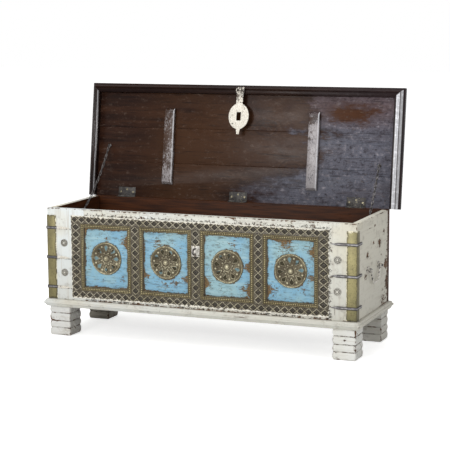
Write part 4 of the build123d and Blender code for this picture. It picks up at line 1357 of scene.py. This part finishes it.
print("faces:", len(medallion.data.polygons), "and nails:", len(medallion_nails.data.polygons))

# %% [markdown]
# Each copy is turned a little farther than the one before, so that no two medallions show the
# same openings to the eye.

# %% Placing the medallions
panel_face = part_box("front_panel_1")[0][1]
medal_finish = aged_brass(
    "medallion_brass", (234, 226, 190), (178, 168, 136), panel_face, 0.0048,
    metallic=0.3, dirt=1.3, rim_dirt=0.85,
)
nail_finish = aged_brass(
    "medallion_nail_brass", (216, 210, 180), (186, 178, 146), panel_face, 0.0034, metallic=0.3, dirt=0.4,
)
for index, x in enumerate(bay_middles):
    place = on_front(x, panel_height, front_face - panel_face) @ Matrix.Rotation(0.3 * index, 4, "Z")
    name = f"medallion_{index + 1}"
    keep(copied(medallion, name, place), name, "case", medal_finish)
    name = f"medallion_nails_{index + 1}"
    keep(copied(medallion_nails, name, place), name, "case", nail_finish)
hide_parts("medallions")
bpy.data.objects.remove(medallion)
bpy.data.objects.remove(medallion_nails)

# %% [markdown]
# Two turned studs sit on each stile. They were painted over with the wood, and the white has
# stayed in rings between the dark grooves.

# %% Stile rosettes
rosette_low, rosette_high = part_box("rosettes")
rosette_radius = 0.0135
stud_height = 0.004


def painted_stud():
    """Paint that stayed on the high rings, more of it on the right stile."""
    metal = Finish("painted_stud", roughness=0.5, metallic=0.1)
    grit = metal.noise(230.0, 5.0, rough=0.7)
    proud = (front_face - metal.y) / stud_height + (grit - 0.5) * 0.9
    proud = proud + metal.x.step(-0.1, 0.1) * 0.12
    metal.colour = proud.step(0.38, 0.8).blend((74, 70, 62), (206, 203, 192))
    return metal.complete(grit.between(0.4, 0.65), grit, 0.0004)


stud_rings = [
    (0.0008, 0.0014), (0.0012, 0.0006), (0.0014, -0.0018), (0.0012, 0.0), (0.001, 0.0018),
    (0.001, 0.0002), (0.0014, -0.0018), (0.001, 0.0), (0.0012, 0.0022), (0.0012, 0.0006),
]
stud = ringed_disc("rosette", rosette_radius, 0.0008, stud_rings, 48)
studs = []
for x in (rosette_low[0] + rosette_radius, rosette_high[0] - rosette_radius):
    for z in (rosette_low[2] + rosette_radius, rosette_high[2] - rosette_radius):
        studs.append(copied(stud, "stud", on_front(x, z)))
bpy.data.objects.remove(stud)
print("rosettes:", len(studs))
kept_group(studs, "stile_rosettes", "case", painted_stud(), ["rosettes"])

# %% [markdown]
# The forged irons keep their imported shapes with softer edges, because the hammer left no edge
# sharp. Their finish has three layers: dark scale, metal rubbed bright on the high spots, and
# what is left of the paint that ran over them.

# %% Iron finish
def forged_iron(
    name, scale, bright, gloss=0.38, metallic=0.5, paint=None, left=0.0, where=None,
    rust=0.6, barer=None, lines=None,
):
    """Hammered iron; left is the share still covered by paint, where narrows that to a mask.

    barer is a mask of where the paint went first. lines names a node of three level straps,
    which then get dark borders: painted shade along their rounded edges.
    """
    iron = Finish(name, roughness=gloss, metallic=metallic)
    hammer = iron.noise(90.0, 3.0)
    grit = iron.noise(330.0, 5.0, rough=0.72)
    iron.colour = hammer.step(0.4, 0.64).blend(scale, bright)
    # Painted shade: dark bands along each strap's upper and lower edges, where the round iron turns from the
    # light.
    if lines is not None:
        straps = [iron.near((None, None, level), 0.0062) for level in strap_levels(lines)]
        border = (straps[0].most(*straps[1:]) + grit * 0.3).step(0.98, 0.7)
        iron.coat(border * 0.9, (36, 32, 32))
    iron.coat(grit.step(0.56, 0.7) * rust, (60, 46, 38))
    rough = grit.between(gloss - 0.05, gloss + 0.25)
    height = hammer + grit * 0.5
    if paint is not None:
        flakes = iron.noise(110.0, 6.0, shift=(5, 3, 1), rough=0.72)
        if barer is not None:
            flakes = flakes - barer(iron) * 0.085
        level = 0.5 + (0.5 - left) * 0.34
        cover = flakes.step(level - 0.015, level + 0.015)
        if where is not None:
            cover = cover * where(iron)
        iron.coat(cover, grit.step(0.4, 0.66).blend(paint, (186, 178, 164)))
        rough = cover.between(rough, 0.62)
        height = height + cover
    return iron.complete(rough, height, 0.0006)


print("iron finish ready")

# %% [markdown]
# Three forged straps hold each front corner. A nail with a domed head fixes both arms. One nail
# is modelled and copied; the copies are joined into one piece with the finish of the straps.

# %% Corner straps
strap_nail_x = 0.523
side_nail = (0.5784, 0.04)
left_iron = forged_iron(
    "strap_iron_left", (88, 85, 85), (150, 147, 147), gloss=0.36, metallic=0.3, paint=(219, 215, 205),
    left=0.82, where=beyond(0, -0.5385, -0.534), rust=0.3, lines="left_corner_straps",
)
right_iron = forged_iron(
    "strap_iron_right", (100, 97, 97), (166, 164, 164), gloss=0.36, metallic=0.3, rust=0.3,
    lines="right_corner_straps",
)
nail = dome("strap_nail", 0.0024, 0.0014)
for side, sign, finish in (("left", -1, left_iron), ("right", 1, right_iron)):
    node = f"{side}_corner_straps"
    reworked(node, "forged", "case", 0.0014, finish, segments=3, angle=60)
    flat_to_side = turned(90 * sign) @ on_front(0, 0, front_face)
    own_nails = []
    for level in strap_levels(node):
        own_nails.append(copied(nail, "strap_nail", on_front(sign * strap_nail_x, level, 0.0034)))
        place = Matrix.Translation((sign * side_nail[0], front_face + side_nail[1], level))
        own_nails.append(copied(nail, "strap_nail", place @ flat_to_side))
    kept_group(own_nails, f"{side}_strap_nails", "case", finish)
bpy.data.objects.remove(nail)
print("corner straps ready")

# %% [markdown]
# Under the straps each corner wears a folded brass sheet. The white paint of the chest runs a
# little over its edges, and the metal has gone olive. The ragged line is noise added to the
# distance from the sheet's own edge.

# %% Corner brass
def corner_brass(node, bright, dull, overpaint):
    """Olive brass with paint over its edges."""
    low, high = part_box(node)
    metal = Finish(f"{node}_finish", roughness=0.42, metallic=0.35)
    clouds = metal.noise(11.0, 4.0)
    speckle = metal.noise(150.0, 6.0, rough=0.75)
    crust = metal.noise(60.0, 5.0, shift=(2, 5, 3), rough=0.7)
    metal.colour = clouds.step(0.38, 0.64).blend(bright, dull)
    metal.coat(crust.step(0.48, 0.66) * 0.4, (112, 104, 70))
    metal.coat(speckle.step(0.52, 0.66) * 0.75, (84, 76, 50))
    inner_x, outer_x = sorted((abs(low[0]), abs(high[0])))
    across = abs(metal.x) - inner_x
    below_top = high[2] - metal.z
    ragged = (crust - 0.5) * 0.022
    rim_gap = across.least(below_top.least(metal.z - low[2]), high[1] - metal.y)
    from_fold = outer_x - abs(metal.x)
    dark = (rim_gap + ragged).step(0.0066, 0.003)
    dark = dark.most((from_fold + ragged).step(0.003, 0.0012) * 0.7)
    metal.coat(dark * 0.8, (62, 56, 38))
    covered = (across.least(below_top * 0.35) + ragged).step(0.0016 * overpaint, 0.0)
    metal.coat(covered, (221, 214, 186))
    rough = covered.between(speckle.between(0.3, 0.6), 0.65)
    finish = metal.complete(rough, speckle * 0.5 + covered * 0.8, 0.0007)
    reworked(node, "folded", "case", 0.0005, finish)


corner_brass("left_corner_brass", (136, 127, 86), (104, 97, 66), 0.6)
corner_brass("right_corner_brass", (156, 147, 102), (124, 118, 82), 1.8)
print("corner brass ready")

# %% [markdown]
# The staple stands on a small plate in the middle of the front. White paint has flaked off the
# plate, which shows as a pale patch on the dark fretwork.

# %% Staple
nail_inset = 0.0045
staple_finish = forged_iron("staple_iron", (66, 60, 60), (128, 122, 120))
plate_finish = forged_iron(
    "staple_plate_iron", (84, 74, 64), (120, 110, 96), paint=(222, 220, 214), left=0.62,
)
reworked("staple", "forged", "case", 0.0012, staple_finish, segments=3, angle=60)
reworked("staple_plate", "worn", "case", 0.0006, plate_finish)
plate_low, plate_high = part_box("staple_plate")
plate_nail = dome("plate_nail", 0.0021, 0.0013)
plate_nails = []
for x in (plate_low[0] + nail_inset, plate_high[0] - nail_inset):
    for z in (plate_low[2] + nail_inset, plate_high[2] - nail_inset):
        place = on_front(x, z, front_face - plate_low[1] - 0.0001)
        plate_nails.append(copied(plate_nail, "plate_nail", place))
bpy.data.objects.remove(plate_nail)
kept_group(plate_nails, "staple_plate_nails", "case", plate_finish)
print("staple ready")

# %% [markdown]
# The hasp hangs from the lid on a link and an eye. It was limed with the rest of the chest, so
# it is almost white, with iron showing in specks and round the edges.

# %% Hasp
hasp_paint = (226, 222, 212)
hasp_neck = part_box("hasp")[1][2] - 0.035
hasp_finish = forged_iron(
    "hasp_iron", (64, 54, 48), (96, 86, 78), paint=hasp_paint, left=0.84,
    barer=beyond(2, hasp_neck - 0.02, hasp_neck + 0.02),
)
link_finish = forged_iron("link_iron", (70, 62, 58), (120, 112, 106), paint=hasp_paint, left=0.45)
reworked("hasp", "limed", "hasp", 0.0009, hasp_finish, segments=3)
reworked("hasp_link", "forged", "link", 0.0009, link_finish, angle=60)
reworked("hasp_eye", "forged", "lid", 0.0007, link_finish)
print("hasp ready")

# %% [markdown]
# Butt hinges carry the lid. Each leaf is held by countersunk screws, sunk so far that the
# leaves still meet: a ringed disc whose slot is cut with a Boolean modifier. The leaf lies on
# the lid's inner face, so the screws are set out with the lid shut, where everything is
# square, and turned open about the hinge pin.

# %% Hinges
hinge_width = 0.07
leaf_gap = 0.00015
screw_sunk = 0.00058
leaf_low, leaf_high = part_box("lid_hinge_leaves")
hinge_middles = (leaf_low[0] + hinge_width / 2, 0.0, leaf_high[0] - hinge_width / 2)
hinge_iron = forged_iron(
    "hinge_iron", (30, 27, 26), (60, 56, 52), metallic=0.3, paint=(96, 92, 66), left=0.22,
    where=beyond(0, 0.006, 0.016),
)
for node, body in (("case_hinge_leaves", "case"), ("lid_hinge_leaves", "lid"), ("hinge_pins", "case")):
    reworked(node, "worn", body, 0.0004, hinge_iron, angle=60)
screw = ringed_disc("screw", 0.0036, 0.0006, [(0.0004, 0.00005), (0.0012, 0.00001), (0.0012, 0.0)], 20)
slot_cutter = flat_bar((-0.005, 0.005), (-0.0004, 0.0004), (0.0003, 0.003))
modified(screw, "BOOLEAN", operation="DIFFERENCE", object=slot_cutter, solver="EXACT")
bpy.data.objects.remove(slot_cutter)
facing_down = Matrix.Rotation(math.radians(180), 4, "X")
about_pin = Matrix.Rotation(-open_turn, 4, "X") @ Matrix.Translation(-pin_place)
opened = Matrix.Translation(pin_place) @ about_pin
lid_under = pin_place.z + leaf_gap
lid_screws = []
case_screws = []
random.seed(5)
for middle in hinge_middles:
    for off, back in ((-0.025, 0.012), (0.0, 0.021), (0.025, 0.012)):
        spin = Matrix.Rotation(random.uniform(0, math.pi), 4, "Z")
        place = Vector((middle + off, pin_place.y - 0.0041 - back, lid_under + screw_sunk))
        lid_screws.append(copied(screw, "screw", opened @ Matrix.Translation(place) @ facing_down @ spin))
    for off in (-0.02, 0.02):
        place = Vector((middle + off, pin_place.y - 0.0125, rim - screw_sunk))
        case_screws.append(copied(screw, "screw", Matrix.Translation(place)))
bpy.data.objects.remove(screw)
screw_finish = aged_brass("screw_brass", (150, 142, 116), (104, 96, 74), 1.0, 0.5, metallic=0.5)
kept_group(lid_screws, "lid_hinge_screws", "lid", screw_finish)
kept_group(case_screws, "case_hinge_screws", "case", screw_finish)
print("hinges and screws ready")

# %% [markdown]
# The bails on the sides were painted over with the boards and rubbed bare where hands take
# them, so iron and paint lie in patches.

# %% Handles
bail_finish = forged_iron("bail_iron", (46, 42, 42), (96, 92, 92), paint=(228, 226, 220), left=0.6)
for bail in ("left_handle", "right_handle"):
    reworked(bail, "forged", bail, 0.0012, bail_finish, segments=3, angle=60)
    reworked(f"{bail}_eyes", "forged", "case", 0.0009, bail_finish, angle=50)
print("handles ready")

# %% [markdown]
# Two stay chains hold the open lid. Their links are joined for the picture and fixed where
# they are, tied to neither the case nor the lid.

# %% Stay chains
chain_finish = forged_iron("chain_iron", (48, 44, 44), (104, 100, 98), gloss=0.32)
for node, body in (("wall_chain_eyes", "case"), ("lid_chain_eyes", "lid")):
    reworked(node, "forged", body, 0.0005, chain_finish, angle=60)
for side in ("left", "right"):
    node = f"{side}_stay_chain"
    low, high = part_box(node)
    chain = reworked(node, "links", None, 0.0008, chain_finish, angle=60)
    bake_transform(chain)
print("stay chains ready")
